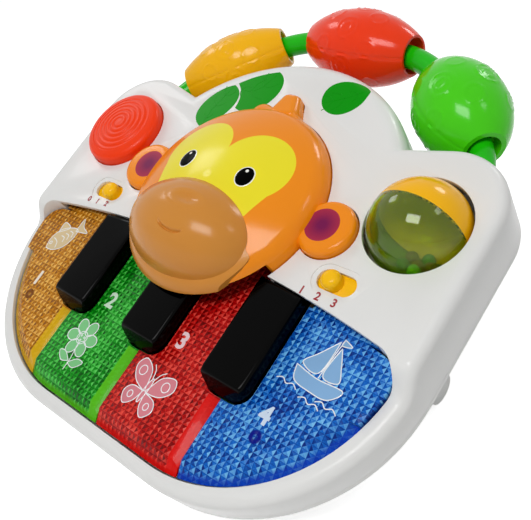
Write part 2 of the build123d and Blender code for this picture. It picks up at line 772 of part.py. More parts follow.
def build_keys():
    edges_x = [-tray_half_width - 5, -key_pitch, 0, key_pitch, tray_half_width + 5]
    nose = extrude(Pos(0, 0, -key_bottom) * tray_outline(-key_gap), amount=key_bottom - key_top,
                   taper=nose_taper)
    nose += block(-half_width, half_width, nose_end_y, 10, -key_bottom, -key_top)
    for i, name in enumerate(colour_keys):
        plan = key_plan(edges_x[i], edges_x[i + 1])
        body = tower(plan, -key_bottom, -key_top) & nose
        inner = tower(key_plan(edges_x[i], edges_x[i + 1], key_wall), -key_bottom - 1,
                      -key_top - key_wall) & (Pos(0, 0, -key_wall) * nose
                      + block(-half_width, half_width, -front_reach, 10, -key_bottom - 2, -key_bottom))
        if name != colour_keys[-1]:
            body -= side_slope(edges_x[i + 1] - key_gap / 2, 0)
            inner -= side_slope(edges_x[i + 1] - key_gap / 2, key_wall)
        x0, x1 = tail_spans[name]
        strap = tail(x0, x1)
        finish_key(name, body, inner, strap, colour_contacts[i], colour_contact_y, -key_top)
    for i, name in enumerate(black_keys):
        centre = black_centres[i]
        plan = black_plan(centre) & tray_outline(-key_gap)
        side_view = make_face(Plane.YZ * Polyline(
            (black_front_y, -key_bottom), (black_front_y, -key_top),
            (black_front_y + black_slope, black_top), (rod_y, black_top), (rod_y, -key_bottom),
            close=True))
        body = Pos(centre, 0, 0) * extrude(side_view, amount=black_width, both=True)
        body &= tower(plan, -key_bottom, black_top)
        body = fillet(edges_at(body, black_top), black_edge_r)
        shallow = black_plan(centre, -key_wall) & tray_outline(-key_gap - key_wall)
        inner = tower(shallow, -key_bottom - 1, black_top - key_wall)
        inner &= Pos(0, black_slope + key_wall, -key_wall) * Pos(centre, 0, 0) * extrude(
            side_view, amount=black_width, both=True) + tower(shallow, -key_bottom - 1, -key_top)
        x0, x1 = tail_spans[name]
        strap = tail(x0, x1)
        finish_key(name, body, inner, strap, centre, black_contact_y, black_top)


def build_key_supports():
    """The rod that the keys turn on and the circuit board under them."""
    reach = bracket_end_x + bracket_width
    parts["key_rod"] = cross_rod(-reach, reach, rod_y, rod_z, rod_r)
    board = block(-board_half_x, board_half_x, board_front_y, board_back_y,
                  board_top - board_thickness, board_top)
    screws = []
    for x, y in board_screw_places:
        board -= rod(x, y, board_top - board_thickness - 1, board_top + 1, board_screw_r)
        shank = rod(x, y, board_top - board_thickness - board_screw_bite, board_top, board_screw_r)
        screws.append(shank + rod(x, y, board_top, board_top + board_screw_head, 2 * board_screw_r))
    parts["main_board"] = board
    parts["board_screws"] = Compound(children=screws)
    x, y = chip_place
    chips = [rod(x, y, board_top, board_top + chip_height, chip_r)]
    for x in resistor_places:
        chips.append(block(x - resistor_half, x + resistor_half, resistor_y, resistor_y + resistor_width,
                           board_top, board_top + resistor_height))
    parts["board_chips"] = Compound(children=chips)


# ================= monkey head =================

def spun_dome(r, height, edge_r, low, side=0.0):
    """A round dome above straight sides, its profile two tangent arcs."""
    run = r - edge_r
    rise = height - side
    crown_r = (run ** 2 + rise ** 2 - edge_r ** 2) / (2 * (rise - edge_r))
    lean = atan2(crown_r - rise, run)
    join = (run + edge_r * cos(lean), side + edge_r * sin(lean))
    half = (run + edge_r * cos(lean / 2), side + edge_r * sin(lean / 2))
    turn = radians(90) - lean
    crown = (crown_r * sin(turn / 2), height - crown_r + crown_r * cos(turn / 2))
    rim = ThreePointArc((r, side), half, join)
    face = make_face(Polyline((0, height), (0, low), (r, low), (r, side)) + rim
                     + ThreePointArc(join, crown, (0, height)))
    return revolve(Plane.XZ * face, Axis.Z)


def skull(inset, low):
    """The head's dome, with its walls moved in by the inset."""
    return Pos(0, head_y, 0) * spun_dome(head_r - inset, head_height - inset, head_edge_r - inset,
                                         low)


def ellipsoid(inset):
    """The muzzle's body."""
    sizes = (muzzle_half_x - inset, muzzle_half_y - inset, muzzle_top - muzzle_waist - inset)
    return Pos(0, muzzle_y, muzzle_waist) * scale(Rot(0, 0, -90) * Sphere(1), by=sizes)


def ear(side, inset, low):
    """An ear with a rounded top edge."""
    shape = rod(side * ear_x, ear_y, low, ear_height - inset, ear_r - inset)
    return shape if inset else fillet(edges_at(shape, ear_height), ear_edge_r)


def build_head():
    overhang = block(-head_r, head_r, -head_r, head_skirt_y, -head_skirt - 1, chin_clearance)
    head = skull(0, -head_skirt)
    tuft = tower(tuft_outline(), -head_skirt, tuft_height)
    head += fillet(edges_at(tuft, tuft_height), tuft_edge_r)
    head += ear(-1, 0, -head_skirt) + ear(1, 0, -head_skirt)
    ring = rod(0, head_y, -wall - flange_gap - flange_thickness, -wall - flange_gap, head_r + flange)
    ring &= block(-head_r - flange, head_r + flange, flange_start_y, 2 * head_r + 20, -head_skirt, 0)
    hollow = skull(head_wall, -head_skirt - 1)
    hollow += tower(tuft_outline(-head_wall), -head_skirt - 1, tuft_height - head_wall)
    for side in (-1, 1):
        hollow += ear(side, head_wall, -head_skirt - 1)
    head = head + ring - hollow - overhang
    front = muzzle_y - muzzle_half_y
    back = muzzle_y + muzzle_half_y
    under = block(-muzzle_half_x, muzzle_half_x, front, back, 2 * muzzle_waist - muzzle_top - clear,
                  chin_clearance)
    full = ellipsoid(0) - under
    floor_top = Pos(0, 0, muzzle_wall) * under
    muzzle = full - (ellipsoid(muzzle_wall) - floor_top)
    muzzle -= hollow & block(-head_r, head_r, front, back, chin_clearance + muzzle_wall, head_height)
    muzzle -= rod(0, head_y, 0, head_height, stem_r + slip)
    head -= full
    head += rod(0, head_y, stem_bottom(0), head_height - head_wall / 2, stem_r)
    inlays = []
    for side in (-1, 1):
        seat = ear_height - inlay_thickness
        plug = rod(side * inlay_x, inlay_y, seat, ear_height, inlay_r) - skull(0, -head_skirt)
        inlays.append(plug)
        head -= plug
    mask_shape = skull(0, -1) - skull(mask_thickness, -2)
    mask = mask_shape & tower(mask_outline(), 0, head_height + 1)
    mask = mask - full
    eyes = []
    for side in (-1, 1):
        oval = Pos(side * eye_x, eye_y) * Ellipse(eye_half_x, eye_half_y)
        eye = mask_shape & tower(oval, 0, head_height + 1)
        eyes.append(eye)
        mask -= tower(oval, 0, head_height + 1)
    parts["eyes"] = Compound(children=eyes)
    parts["face_mask"] = mask
    parts["head_shell"] = head - mask - parts["eyes"]
    parts["muzzle"] = muzzle
    parts["ear_inlays"] = Compound(children=inlays)
    parts["head_pad"] = pad(0, head_y, box_top_z())


def mask_outline():
    """The pale face: two round brows that run down to the muzzle."""
    brows = [Pos(side * brow_x, brow_y) * Circle(brow_r) for side in (-1, 1)]
    side_x = brow_x + brow_r
    cheeks = make_face(Polyline((-side_x, brow_y), (-cheek_x, cheek_y), (cheek_x, cheek_y),
                                (side_x, brow_y), close=True))
    return brows[0] + brows[1] + cheeks


def pad(x, y, floor_z):
    """A rubber pad that pushes a stem back."""
    foot = rod(x, y, floor_z, floor_z + mat_thickness, pad_r)
    cone = Pos(x, y, floor_z + mat_thickness + pad_height / 2)
    return foot + cone * Cone(pad_r - 0.5, pad_r - 1.5, pad_height)


def stem_bottom(which):
    """Where a stem ends, just above its rubber pad."""
    low = guide_places()[which][2] + guide_floor
    return low + mat_thickness + pad_height + seat_gap


# ================= round button and spinner =================

def build_button():
    low = -wall - flange_gap - flange_thickness
    shell = spun_dome(button_r, button_height, button_edge_r, low, button_side)
    shell += rod(0, 0, low, -wall - flange_gap, button_r + button_flange)
    shell -= spun_dome(button_r - button_wall, button_height - button_wall,
                       button_edge_r - button_wall, low - 1, button_side)
    shell += rod(0, 0, stem_bottom(1), button_height - button_wall / 2, stem_r)
    parts["round_button"] = Pos(-round_x, round_y, 0) * shell
    parts["button_pad"] = pad(-round_x, round_y, -case_depth + wall + guide_floor)


def build_spinner():
    centre = Pos(round_x, round_y, ball_z)
    ball = Sphere(ball_r) - Sphere(ball_r - ball_wall)
    reach = ball_r + pivot_reach
    pivots = cross_rod(ball_r - ball_wall / 2, reach, 0, 0, pivot_r)
    pivots += cross_rod(-reach, -ball_r + ball_wall / 2, 0, 0, pivot_r)
    back_half = Rot(-ball_turn, 0, 0) * block(-50, 50, 0, 50, -50, 50)
    parts["spinner_yellow_half"] = centre * ((ball & back_half) + pivots)
    parts["spinner_clear_half"] = centre * (ball - back_half - pivots)
    beads = []
    run = ball_r - ball_wall - rattle_r
    spots = [(0, 0)] + [(rattle_spread, 72 * i) for i in range(5)]
    for lean, turn in spots:
        spot = Rot(180 - stance(), 0, 0) * Rot(0, 0, turn) * Rot(lean, 0, 0) * Pos(0, 0, run)
        beads.append(centre * spot * Sphere(rattle_r))
    parts["rattle_beads"] = Compound(children=beads)


# ================= slide switches =================

def build_switches():
    boards = []
    half_plate = (slot_length + slide_range) / 2 + slider_margin
    for side, name in ((-1, "left_switch_knob"), (1, "right_switch_knob")):
        knob_x = side * (slot_x - knob_offset)
        plate_z = -wall - slider_gap
        half = slot_width / 2 + 1
        knob = block(knob_x - half_plate, knob_x + half_plate, slot_y - half, slot_y + half,
                     plate_z - slider_plate, plate_z)
        grip = rod(knob_x, slot_y, plate_z, knob_height, knob_r)
        knob += fillet(edges_at(grip, knob_height), knob_edge_r)
        knob += rod(knob_x, peg_y, switch_board_z + peg_gap, plate_z, peg_r)
        parts[name] = knob
        x = side * slot_x
        board = block(x - switch_half_x, x + switch_half_x, peg_y - switch_half_y,
                      switch_boss_y + switch_board_edge, switch_board_z - switch_board_thickness,
                      switch_board_z)
        body = block(x - switch_half_x, x + switch_half_x, peg_y - switch_half_y, peg_y + switch_half_y,
                     switch_board_z, switch_board_z + switch_body_height)
        trough_x = slide_range / 2 + peg_r + peg_room
        trough_y = peg_r + peg_room
        body -= block(x - trough_x, x + trough_x, peg_y - trough_y, peg_y + trough_y, switch_board_z,
                      switch_board_z + switch_body_height + 1)
        boards += [board, body]
    parts["switch_boards"] = Compound(children=[boards[0] + boards[1], boards[2] + boards[3]])


# ================= handle =================

def bead_profile(half, end_r, r):
    """Half section of a bead along its own axis."""
    arc = ThreePointArc((-half, end_r), (0, r), (half, end_r))
    return make_face(arc + Polyline((half, end_r), (half, 0), (-half, 0), (-half, end_r)))


def build_handle():
    path = handle_path()
    start = Plane(origin=path @ 0, z_dir=path % 0)
    parts["handle_tube"] = sweep(start * Circle(tube_r), path=path)
    for name, (spot, along) in bead_spots().items():
        half = bead_half_lengths[name]
        r = bead_radii[name]
        outer = revolve(bead_profile(half, bead_end_r, r), Axis.X)
        inner = revolve(bead_profile(half - bead_wall, bead_end_r - bead_wall / 2, r - bead_wall),
                        Axis.X)
        web_at = bead_bearing - bead_web
        webs = [inner & block(s * web_at, s * bead_bearing, -50, 50, -50, 50) for s in (-1, 1)]
        bead = outer - inner + webs
        bead -= cross_rod(-bead_bearing - 1, bead_bearing + 1, 0, 0, tube_r + bead_play)
        tight = min(bend_r, end_bend_r)
        reach = half - bead_bearing
        mouth = tight - sqrt((tight - tube_r) ** 2 - reach ** 2) + bead_mouth_gap
        for s in (-1, 1):
            bead -= cross_rod(s * (bead_bearing + 1), s * (half + 1), 0, 0, mouth)
        place = Pos(spot[0], spot[1], handle_z) * Rot(0, 0, degrees(atan2(along[1], along[0])))
        parts[name] = place * bead


# ================= legs and feet =================

def build_legs():
    pins = []
    for side, name in ((-1, "left_leg"), (1, "right_leg")):
        outer_x = side * leg_face_x
        inner_x = side * (leg_face_x - leg_thickness)
        ends = [cross_rod(inner_x, outer_x, leg_pivot_y, leg_pivot_z, leg_r),
                cross_rod(inner_x, outer_x, leg_end_y, leg_end_z, leg_r)]
        middle = Pos((inner_x + outer_x) / 2, (leg_pivot_y + leg_end_y) / 2,
                     (leg_pivot_z + leg_end_z) / 2)
        lean = degrees(atan2(leg_pivot_y - leg_end_y, leg_pivot_z - leg_end_z))
        blade = middle * Rot(-lean, 0, 0) * Box(leg_thickness, 2 * leg_r, leg_length())
        leg = ends[0] + ends[1] + blade
        leg -= cross_rod(inner_x - side, outer_x + side, leg_pivot_y, leg_pivot_z,
                         leg_pin_r + leg_pin_play)
        parts[name] = leg
        reach = channel_gap + channel_wall
        pins.append(cross_rod(inner_x - side * reach, outer_x + side * reach, leg_pivot_y,
                              leg_pivot_z, leg_pin_r))
    parts["leg_pins"] = Compound(children=pins)


def stance():
    """How far the casing leans when the feet and both legs touch the floor."""
    run = foot_y - leg_end_y
    rise = -case_depth - leg_end_z
    return degrees(acos((foot_drop - leg_r) / hypot(run, rise)) - atan2(-run, rise))


def build_feet():
    feet = []
    for side in (-1, 1):
        x0 = side * foot_x - foot_length / 2
        bar = cross_rod(x0, x0 + foot_length, foot_y, -case_depth, foot_r)
        feet.append(bar & block(x0, x0 + foot_length, foot_y - 20, foot_y + 20, -case_depth - 20,
                                -case_depth))
    return feet


# ================= assembly =================

def stand(shape):
    """From the flat frame to the standing one, with the floor at z = 0."""
    lean = radians(stance())
    floor = foot_y * sin(lean) - case_depth * cos(lean) - foot_drop
    return Pos(0, 0, -floor) * Rot(stance(), 0, 0) * shape


def build():
    skins = leaf_skins()
    parts["leaves"] = skins
    parts["front_cover"] = front_cover(skins)
    battery_box()
    build_key_supports()
    build_keys()
    build_head()
    build_button()
    build_spinner()
    build_switches()
    build_handle()
    build_legs()
    seat = screw_seat()
    parts["case_screws"] = Compound(children=[screw(x, y, seat, screw_length) for x, y in screw_places])
    standing = {name: stand(shape) for name, shape in parts.items()}
    above = block(-half_width, half_width, -500, 500, 0, 500)
    standing["rubber_feet"] = Compound(children=[stand(foot) & above for foot in build_feet()])
    boxes = [shape.bounding_box() for shape in standing.values()]
    middle_y = (min(b.min.Y for b in boxes) + max(b.max.Y for b in boxes)) / 2
    os.makedirs("parts", exist_ok=True)
    for name, shape in standing.items():
        export_step(Pos(0, -middle_y, 0) * shape, "parts/" + name + ".step")
    print("lean", stance(), "middle", middle_y)


build()
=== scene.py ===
import bpy
import bmesh
import json
import math
from mathutils import Matrix, Vector

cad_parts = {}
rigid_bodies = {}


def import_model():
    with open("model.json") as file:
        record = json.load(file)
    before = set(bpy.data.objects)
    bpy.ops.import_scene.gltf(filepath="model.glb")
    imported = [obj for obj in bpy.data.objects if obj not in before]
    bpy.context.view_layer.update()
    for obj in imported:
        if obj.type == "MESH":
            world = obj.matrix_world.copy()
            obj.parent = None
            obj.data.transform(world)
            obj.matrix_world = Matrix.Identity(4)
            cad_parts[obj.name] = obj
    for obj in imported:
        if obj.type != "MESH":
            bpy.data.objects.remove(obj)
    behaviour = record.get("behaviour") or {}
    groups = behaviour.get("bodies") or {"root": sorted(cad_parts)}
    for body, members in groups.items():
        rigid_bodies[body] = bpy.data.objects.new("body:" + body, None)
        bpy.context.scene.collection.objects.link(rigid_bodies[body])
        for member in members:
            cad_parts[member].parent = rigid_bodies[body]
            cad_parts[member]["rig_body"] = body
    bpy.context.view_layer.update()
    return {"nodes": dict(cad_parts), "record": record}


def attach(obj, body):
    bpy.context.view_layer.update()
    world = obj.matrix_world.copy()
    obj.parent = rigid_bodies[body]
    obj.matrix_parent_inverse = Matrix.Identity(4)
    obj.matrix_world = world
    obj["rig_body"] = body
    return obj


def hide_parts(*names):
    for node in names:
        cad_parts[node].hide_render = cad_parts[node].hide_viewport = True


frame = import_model()
nodes = frame["nodes"]
mm = 0.001

# the casing leans back on its legs: pieces are drawn flat, in millimetres, and then stood up
stance = {"lean": math.radians(35.13618627602269), "back": 36.841285781081915, "lift": 86.8860055990826}
standUp = (Matrix.Translation((0, -stance["back"] * mm, stance["lift"] * mm))
           @ Matrix.Rotation(stance["lean"], 4, "X"))


def linear(r, g, b):
    # from sRGB, 0 to 255, to linear light
    return tuple((v / 255 / 12.92) if v < 11 else ((v / 255 + 0.055) / 1.055) ** 2.4 for v in (r, g, b))


def smoothStep(value, low, high):
    t = min(max((value - low) / (high - low), 0), 1)
    return t * t * (3 - 2 * t)


def meshFrom(name, bm):
    mesh = bpy.data.meshes.new(name)
    bm.to_mesh(mesh)
    bm.free()
    return mesh


def newObject(name, data):
    thing = bpy.data.objects.new(name, data)
    bpy.context.scene.collection.objects.link(thing)
    return thing


def setInputs(node, **values):
    for label, value in values.items():
        node.inputs[label.replace("_", " ")].default_value = value


# shader groups

def newGroup(name, inputs, outputs):
    group = bpy.data.node_groups.new(name, "ShaderNodeTree")
    for label, kind, value in inputs:
        socket = group.interface.new_socket(label, in_out="INPUT", socket_type=kind)
        if value is not None:
            socket.default_value = value
    for label, kind in outputs:
        group.interface.new_socket(label, in_out="OUTPUT", socket_type=kind)
    return group, group.nodes.new("NodeGroupInput"), group.nodes.new("NodeGroupOutput")


def mathNode(tree, operation, a, b=None, clamp=False):
    node = tree.nodes.new("ShaderNodeMath")
    node.operation = operation
    node.use_clamp = clamp
    for i, value in enumerate((a, b)):
        if value is None:
            continue
        if isinstance(value, (int, float)):
            node.inputs[i].default_value = value
        else:
            tree.links.new(value, node.inputs[i])
    return node.outputs[0]


def mapRange(tree, value, low, high, toLow, toHigh):
    node = tree.nodes.new("ShaderNodeMapRange")
    tree.links.new(value, node.inputs["Value"])
    for label, number in (("From Min", low), ("From Max", high), ("To Min", toLow), ("To Max", toHigh)):
        if isinstance(number, (int, float)):
            node.inputs[label].default_value = number
        else:
            tree.links.new(number, node.inputs[label])
    return node.outputs["Result"]


def mixColours(tree, amount, first, second):
    node = tree.nodes.new("ShaderNodeMix")
    node.data_type = "RGBA"
    for socket, value in (("Factor", amount), (6, first), (7, second)):
        if isinstance(value, (int, float, tuple)):
            node.inputs[socket].default_value = value
        else:
            tree.links.new(value, node.inputs[socket])
    return node.outputs[2]


def noiseTexture(tree, vector, scale, detail, roughness):
    node = tree.nodes.new("ShaderNodeTexNoise")
    setInputs(node, Scale=scale, Detail=detail, Roughness=roughness)
    tree.links.new(vector, node.inputs["Vector"])
    return node.outputs["Fac"]


# moulded plastic: slow drifts of tone, a fine grain and handling smears
# each noise is (scale, detail, roughness)
mouldLook = {"flow": (14, 3, 0.5), "grain": (900, 2, 0.5), "smear": (60, 6, 0.7),
             "flowFrom": 0.3, "flowTo": 0.7, "grainShare": 0.3, "bumpDistance": 0.5,
             "coatRoughness": 0.06}


def makeMouldGroup():
    group, inn, out = newGroup(
        "MouldedPlastic",
        [("Vector", "NodeSocketVector", None), ("Colour", "NodeSocketColor", (1, 1, 1, 1)),
         ("Tone", "NodeSocketFloat", 0.04), ("Roughness", "NodeSocketFloat", 0.3),
         ("Wear", "NodeSocketFloat", 0.08)],
        [("Colour", "NodeSocketColor"), ("Roughness", "NodeSocketFloat"), ("Height", "NodeSocketFloat")])
    link = group.links.new
    vector = inn.outputs["Vector"]
    flow = noiseTexture(group, vector, *mouldLook["flow"])
    grain = noiseTexture(group, vector, *mouldLook["grain"])
    smear = noiseTexture(group, vector, *mouldLook["smear"])
    low = mathNode(group, "SUBTRACT", 1.0, inn.outputs["Tone"])
    tint = group.nodes.new("ShaderNodeVectorMath")
    tint.operation = "SCALE"
    link(inn.outputs["Colour"], tint.inputs[0])
    link(mapRange(group, flow, mouldLook["flowFrom"], mouldLook["flowTo"], low, 1.0),
         tint.inputs["Scale"])
    link(tint.outputs[0], out.inputs["Colour"])
    rough = mathNode(group, "MULTIPLY", mathNode(group, "SUBTRACT", smear, 0.5), inn.outputs["Wear"])
    link(mathNode(group, "ADD", inn.outputs["Roughness"], rough, clamp=True), out.inputs["Roughness"])
    fine = mathNode(group, "MULTIPLY", grain, mouldLook["grainShare"])
    link(mathNode(group, "ADD", fine, smear), out.inputs["Height"])
    return group


# rows of small pyramids under a clear skin, with painted light and shade: lit and shaded facets, a
# painted highlight on the ridges, painted shade in the grooves and a painted sparkle
pyramidLook = {"leftShade": 0.16, "rightShade": 0.80, "nearShade": 0.58, "farShade": 0.34,
               "drift": (0.05, 2, 0.5), "driftShare": 0.9, "bend": (0.9, 2, 0.5), "bendShare": 0.5,
               "ridgeWidth": 0.05, "ridgeHighlight": 0.22, "valleyFrom": 0.43, "valleyShade": -0.3}


def makePyramidGroup():
    look = pyramidLook
    group, inn, out = newGroup(
        "PyramidGrid",
        [("Vector", "NodeSocketVector", None), ("Pitch", "NodeSocketFloat", 3.0),
         ("Dark", "NodeSocketColor", (0, 0, 0, 1)), ("Middle", "NodeSocketColor", (0.5, 0.5, 0.5, 1)),
         ("Light", "NodeSocketColor", (1, 1, 1, 1)), ("Sparkle", "NodeSocketFloat", 0.5)],
        [("Colour", "NodeSocketColor"), ("Height", "NodeSocketFloat")])
    link = group.links.new
    split = group.nodes.new("ShaderNodeSeparateXYZ")
    link(inn.outputs["Vector"], split.inputs[0])
    cells = []
    sides = []
    for axis in ("X", "Y"):
        along = mathNode(group, "DIVIDE", split.outputs[axis], inn.outputs["Pitch"])
        cells.append(mathNode(group, "FLOOR", along))
        sides.append(mathNode(group, "SUBTRACT", mathNode(group, "FRACT", along), 0.5))
    wide = mathNode(group, "ABSOLUTE", sides[0])
    deep = mathNode(group, "ABSOLUTE", sides[1])
    high = mathNode(group, "MAXIMUM", wide, deep)
    across = mathNode(group, "GREATER_THAN", wide, deep)
    rightSide = mathNode(group, "GREATER_THAN", sides[0], 0.0)
    farSide = mathNode(group, "GREATER_THAN", sides[1], 0.0)
    # painted shade: right and near facets are painted lighter, left and far facets darker, as if lit
    # from the front right
    sideShade = mapRange(group, rightSide, 0, 1, look["leftShade"], look["rightShade"])
    endShade = mapRange(group, farSide, 0, 1, look["nearShade"], look["farShade"])
    paintedFacetShade = mapRange(group, across, 0, 1, endShade, sideShade)
    where = group.nodes.new("ShaderNodeCombineXYZ")
    link(cells[0], where.inputs[0])
    link(cells[1], where.inputs[1])
    link(across, where.inputs[2])
    # painted sparkle: each facet of each cell is made lighter or darker at random, standing in for
    # glittering highlights
    chance = group.nodes.new("ShaderNodeTexWhiteNoise")
    link(where.outputs[0], chance.inputs["Vector"])
    paintedGlint = mathNode(group, "MULTIPLY", mathNode(group, "SUBTRACT", chance.outputs["Value"], 0.5),
                     inn.outputs["Sparkle"])
    drift = mathNode(group, "SUBTRACT", noiseTexture(group, inn.outputs["Vector"], *look["drift"]), 0.5)
    bend = mathNode(group, "SUBTRACT", noiseTexture(group, inn.outputs["Vector"], *look["bend"]), 0.5)
    shade = mathNode(group, "ADD", mathNode(group, "ADD", paintedFacetShade, paintedGlint),
                     mathNode(group, "ADD", mathNode(group, "MULTIPLY", drift, look["driftShare"]),
                              mathNode(group, "MULTIPLY", bend, look["bendShare"])))
    # painted highlight along the ridges between facets and painted shade in the grooves between pyramids
    paintedRidgeHighlight = mapRange(group, mathNode(group, "ABSOLUTE", mathNode(group, "SUBTRACT", wide, deep)),
                     0.0, look["ridgeWidth"], look["ridgeHighlight"], 0.0)
    paintedValleyShade = mapRange(group, high, look["valleyFrom"], 0.5, 0.0, look["valleyShade"])
    shade = mathNode(group, "ADD", shade, mathNode(group, "ADD", paintedRidgeHighlight, paintedValleyShade), clamp=True)
    # the painted shade picks between the shaded, middle and lit colours
    lower = mixColours(group, mapRange(group, shade, 0.0, 0.5, 0, 1), inn.outputs["Dark"],
                       inn.outputs["Middle"])
    link(mixColours(group, mapRange(group, shade, 0.5, 1.0, 0, 1), lower, inn.outputs["Light"]),
         out.inputs["Colour"])
    link(high, out.inputs["Height"])
    return group


mould = makeMouldGroup()
pyramids = makePyramidGroup()


# materials

def startMaterial(name):
    material = bpy.data.materials.new(name)
    material.use_nodes = True
    tree = material.node_tree
    shader = tree.nodes["Principled BSDF"]
    coords = tree.nodes.new("ShaderNodeTexCoord")
    return material, tree, shader, coords.outputs["Object"]


def addBump(tree, shader, height, strength, distance, invert=False):
    bump = tree.nodes.new("ShaderNodeBump")
    bump.invert = invert
    setInputs(bump, Strength=strength, Distance=distance * mm)
    tree.links.new(height, bump.inputs["Height"])
    tree.links.new(bump.outputs["Normal"], shader.inputs["Normal"])


def plastic(name, colour, roughness=0.3, coat=0.0, tone=0.04, wear=0.08, grain=0.02, **more):
    material, tree, shader, coords = startMaterial(name)
    group = tree.nodes.new("ShaderNodeGroup")
    group.node_tree = mould
    tree.links.new(coords, group.inputs["Vector"])
    setInputs(group, Colour=(*colour, 1), Tone=tone, Roughness=roughness, Wear=wear)
    tree.links.new(group.outputs["Colour"], shader.inputs["Base Color"])
    tree.links.new(group.outputs["Roughness"], shader.inputs["Roughness"])
    addBump(tree, shader, group.outputs["Height"], grain, mouldLook["bumpDistance"])
    setInputs(shader, Coat_Weight=coat, Coat_Roughness=mouldLook["coatRoughness"], **more)
    return material


def flatCoords(tree, coords):
    # back from the standing toy to the flat drawing, in millimetres
    node = tree.nodes.new("ShaderNodeMapping")
    node.vector_type = "TEXTURE"
    setInputs(node, Location=(0, -stance["back"] * mm, stance["lift"] * mm),
              Rotation=(stance["lean"], 0, 0), Scale=(mm, mm, mm))
    tree.links.new(coords, node.inputs["Vector"])
    return node.outputs["Vector"]


def distanceTo(tree, x, y, place):
    # how far (x, y) lies from a place on the flat drawing
    level = tree.nodes.new("ShaderNodeCombineXYZ")
    tree.links.new(x, level.inputs[0])
    tree.links.new(y, level.inputs[1])
    away = tree.nodes.new("ShaderNodeVectorMath")
    away.operation = "DISTANCE"
    tree.links.new(level.outputs[0], away.inputs[0])
    away.inputs[1].default_value = (*place, 0)
    return away.outputs["Value"]


# each translucent key: the painted shaded, middle and lit colours of its pyramids' facets, its smooth
# strip and the post seen under it
keyLooks = {
    "amber_clear": {"dark": (128, 72, 4), "middle": (196, 124, 14), "light": (240, 190, 96),
                    "strip": (216, 172, 20), "stripX": -56.2,
                    "post": (-91.0, -62.0), "postColour": (120, 66, 6)},
    "green_clear": {"dark": (0, 78, 6), "middle": (6, 140, 18), "light": (84, 205, 84),
                    "strip": (90, 190, 22), "stripX": -0.4, "post": None},
    "red_clear": {"dark": (108, 0, 2), "middle": (186, 6, 6), "light": (232, 74, 62),
                  "strip": (226, 12, 6), "stripX": 55.4, "post": None},
    "blue_clear": {"dark": (0, 40, 124), "middle": (14, 102, 200), "light": (110, 184, 236),
                   "strip": (12, 60, 190), "stripX": 400.0,
                   "post": (81.0, -64.0), "postColour": (0, 16, 130)},
}
keyRelief = {"pitch": 2.9, "paintedSparkle": 0.55, "depth": 0.55, "stripWide": 6.3, "stripFrom": -58.5,
             "stripMix": 0.88, "postRadius": 3.0, "postHole": 1.1, "postEdge": 0.3, "holeMix": 0.45,
             "rimDepth": -10.4, "rimFade": 1.0, "rimMix": 0.75, "bumpDistance": 1.2,
             "smear": (0.06, 5, 0.65), "smearFrom": 0.3, "smearTo": 0.7, "roughness": 0.28,
             "smooth": -0.05, "rough": 0.08, "coat": 0.08, "coatRoughness": 0.05, "specular": 0.06}


def keyPlastic(name, look):
    k = keyRelief
    material, tree, shader, coords = startMaterial(name)
    link = tree.links.new
    flat = flatCoords(tree, coords)
    group = tree.nodes.new("ShaderNodeGroup")
    group.node_tree = pyramids
    link(flat, group.inputs["Vector"])
    setInputs(group, Pitch=k["pitch"], Sparkle=k["paintedSparkle"])
    # the pyramids' painted shaded, middle and lit facet colours
    for label in ("dark", "middle", "light"):
        group.inputs[label.capitalize()].default_value = (*linear(*look[label]), 1)
    split = tree.nodes.new("ShaderNodeSeparateXYZ")
    link(flat, split.inputs[0])
    besideStrip = mathNode(tree, "GREATER_THAN", split.outputs["X"], look["stripX"] - k["stripWide"])
    alongStrip = mathNode(tree, "LESS_THAN", split.outputs["Y"], k["stripFrom"])
    smooth = mathNode(tree, "MULTIPLY", besideStrip, alongStrip)
    strip = (*linear(*look["strip"]), 1)
    colour = mixColours(tree, mathNode(tree, "MULTIPLY", smooth, k["stripMix"]),
                        group.outputs["Colour"], strip)
    height = mathNode(tree, "MULTIPLY", group.outputs["Height"], mathNode(tree, "SUBTRACT", 1.0, smooth))
    if look["post"]:
        far = distanceTo(tree, split.outputs["X"], split.outputs["Y"], look["post"])
        disc = mapRange(tree, far, k["postRadius"] - k["postEdge"], k["postRadius"] + k["postEdge"],
                        1, 0)
        hole = mapRange(tree, far, k["postHole"] - k["postEdge"], k["postHole"] + k["postEdge"],
                        k["holeMix"], 0)
        colour = mixColours(tree, mathNode(tree, "SUBTRACT", disc, hole), colour,
                            (*linear(*look["postColour"]), 1))
    rim = mapRange(tree, split.outputs["Z"], k["rimDepth"] - k["rimFade"], k["rimDepth"], k["rimMix"], 0)
    colour = mixColours(tree, rim, colour, strip)
    link(colour, shader.inputs["Base Color"])
    addBump(tree, shader, height, k["depth"], k["bumpDistance"], invert=True)
    smear = noiseTexture(tree, flat, *k["smear"])
    link(mapRange(tree, smear, k["smearFrom"], k["smearTo"], k["roughness"] + k["smooth"],
                  k["roughness"] + k["rough"]), shader.inputs["Roughness"])
    setInputs(shader, Coat_Weight=k["coat"], Coat_Roughness=k["coatRoughness"],
              Specular_IOR_Level=k["specular"])
    return material


# the inner ear fades from a deep middle to a lighter edge
earLook = {"middle": (60.0, 28.6), "inner": (116, 14, 76), "outer": (172, 44, 70), "fadeFrom": 2.0,
           "fadeTo": 9.0, "roughness": 0.3, "grain": 0.03, "coat": 0.05, "coatRoughness": 0.08,
           "specular": 0.08}


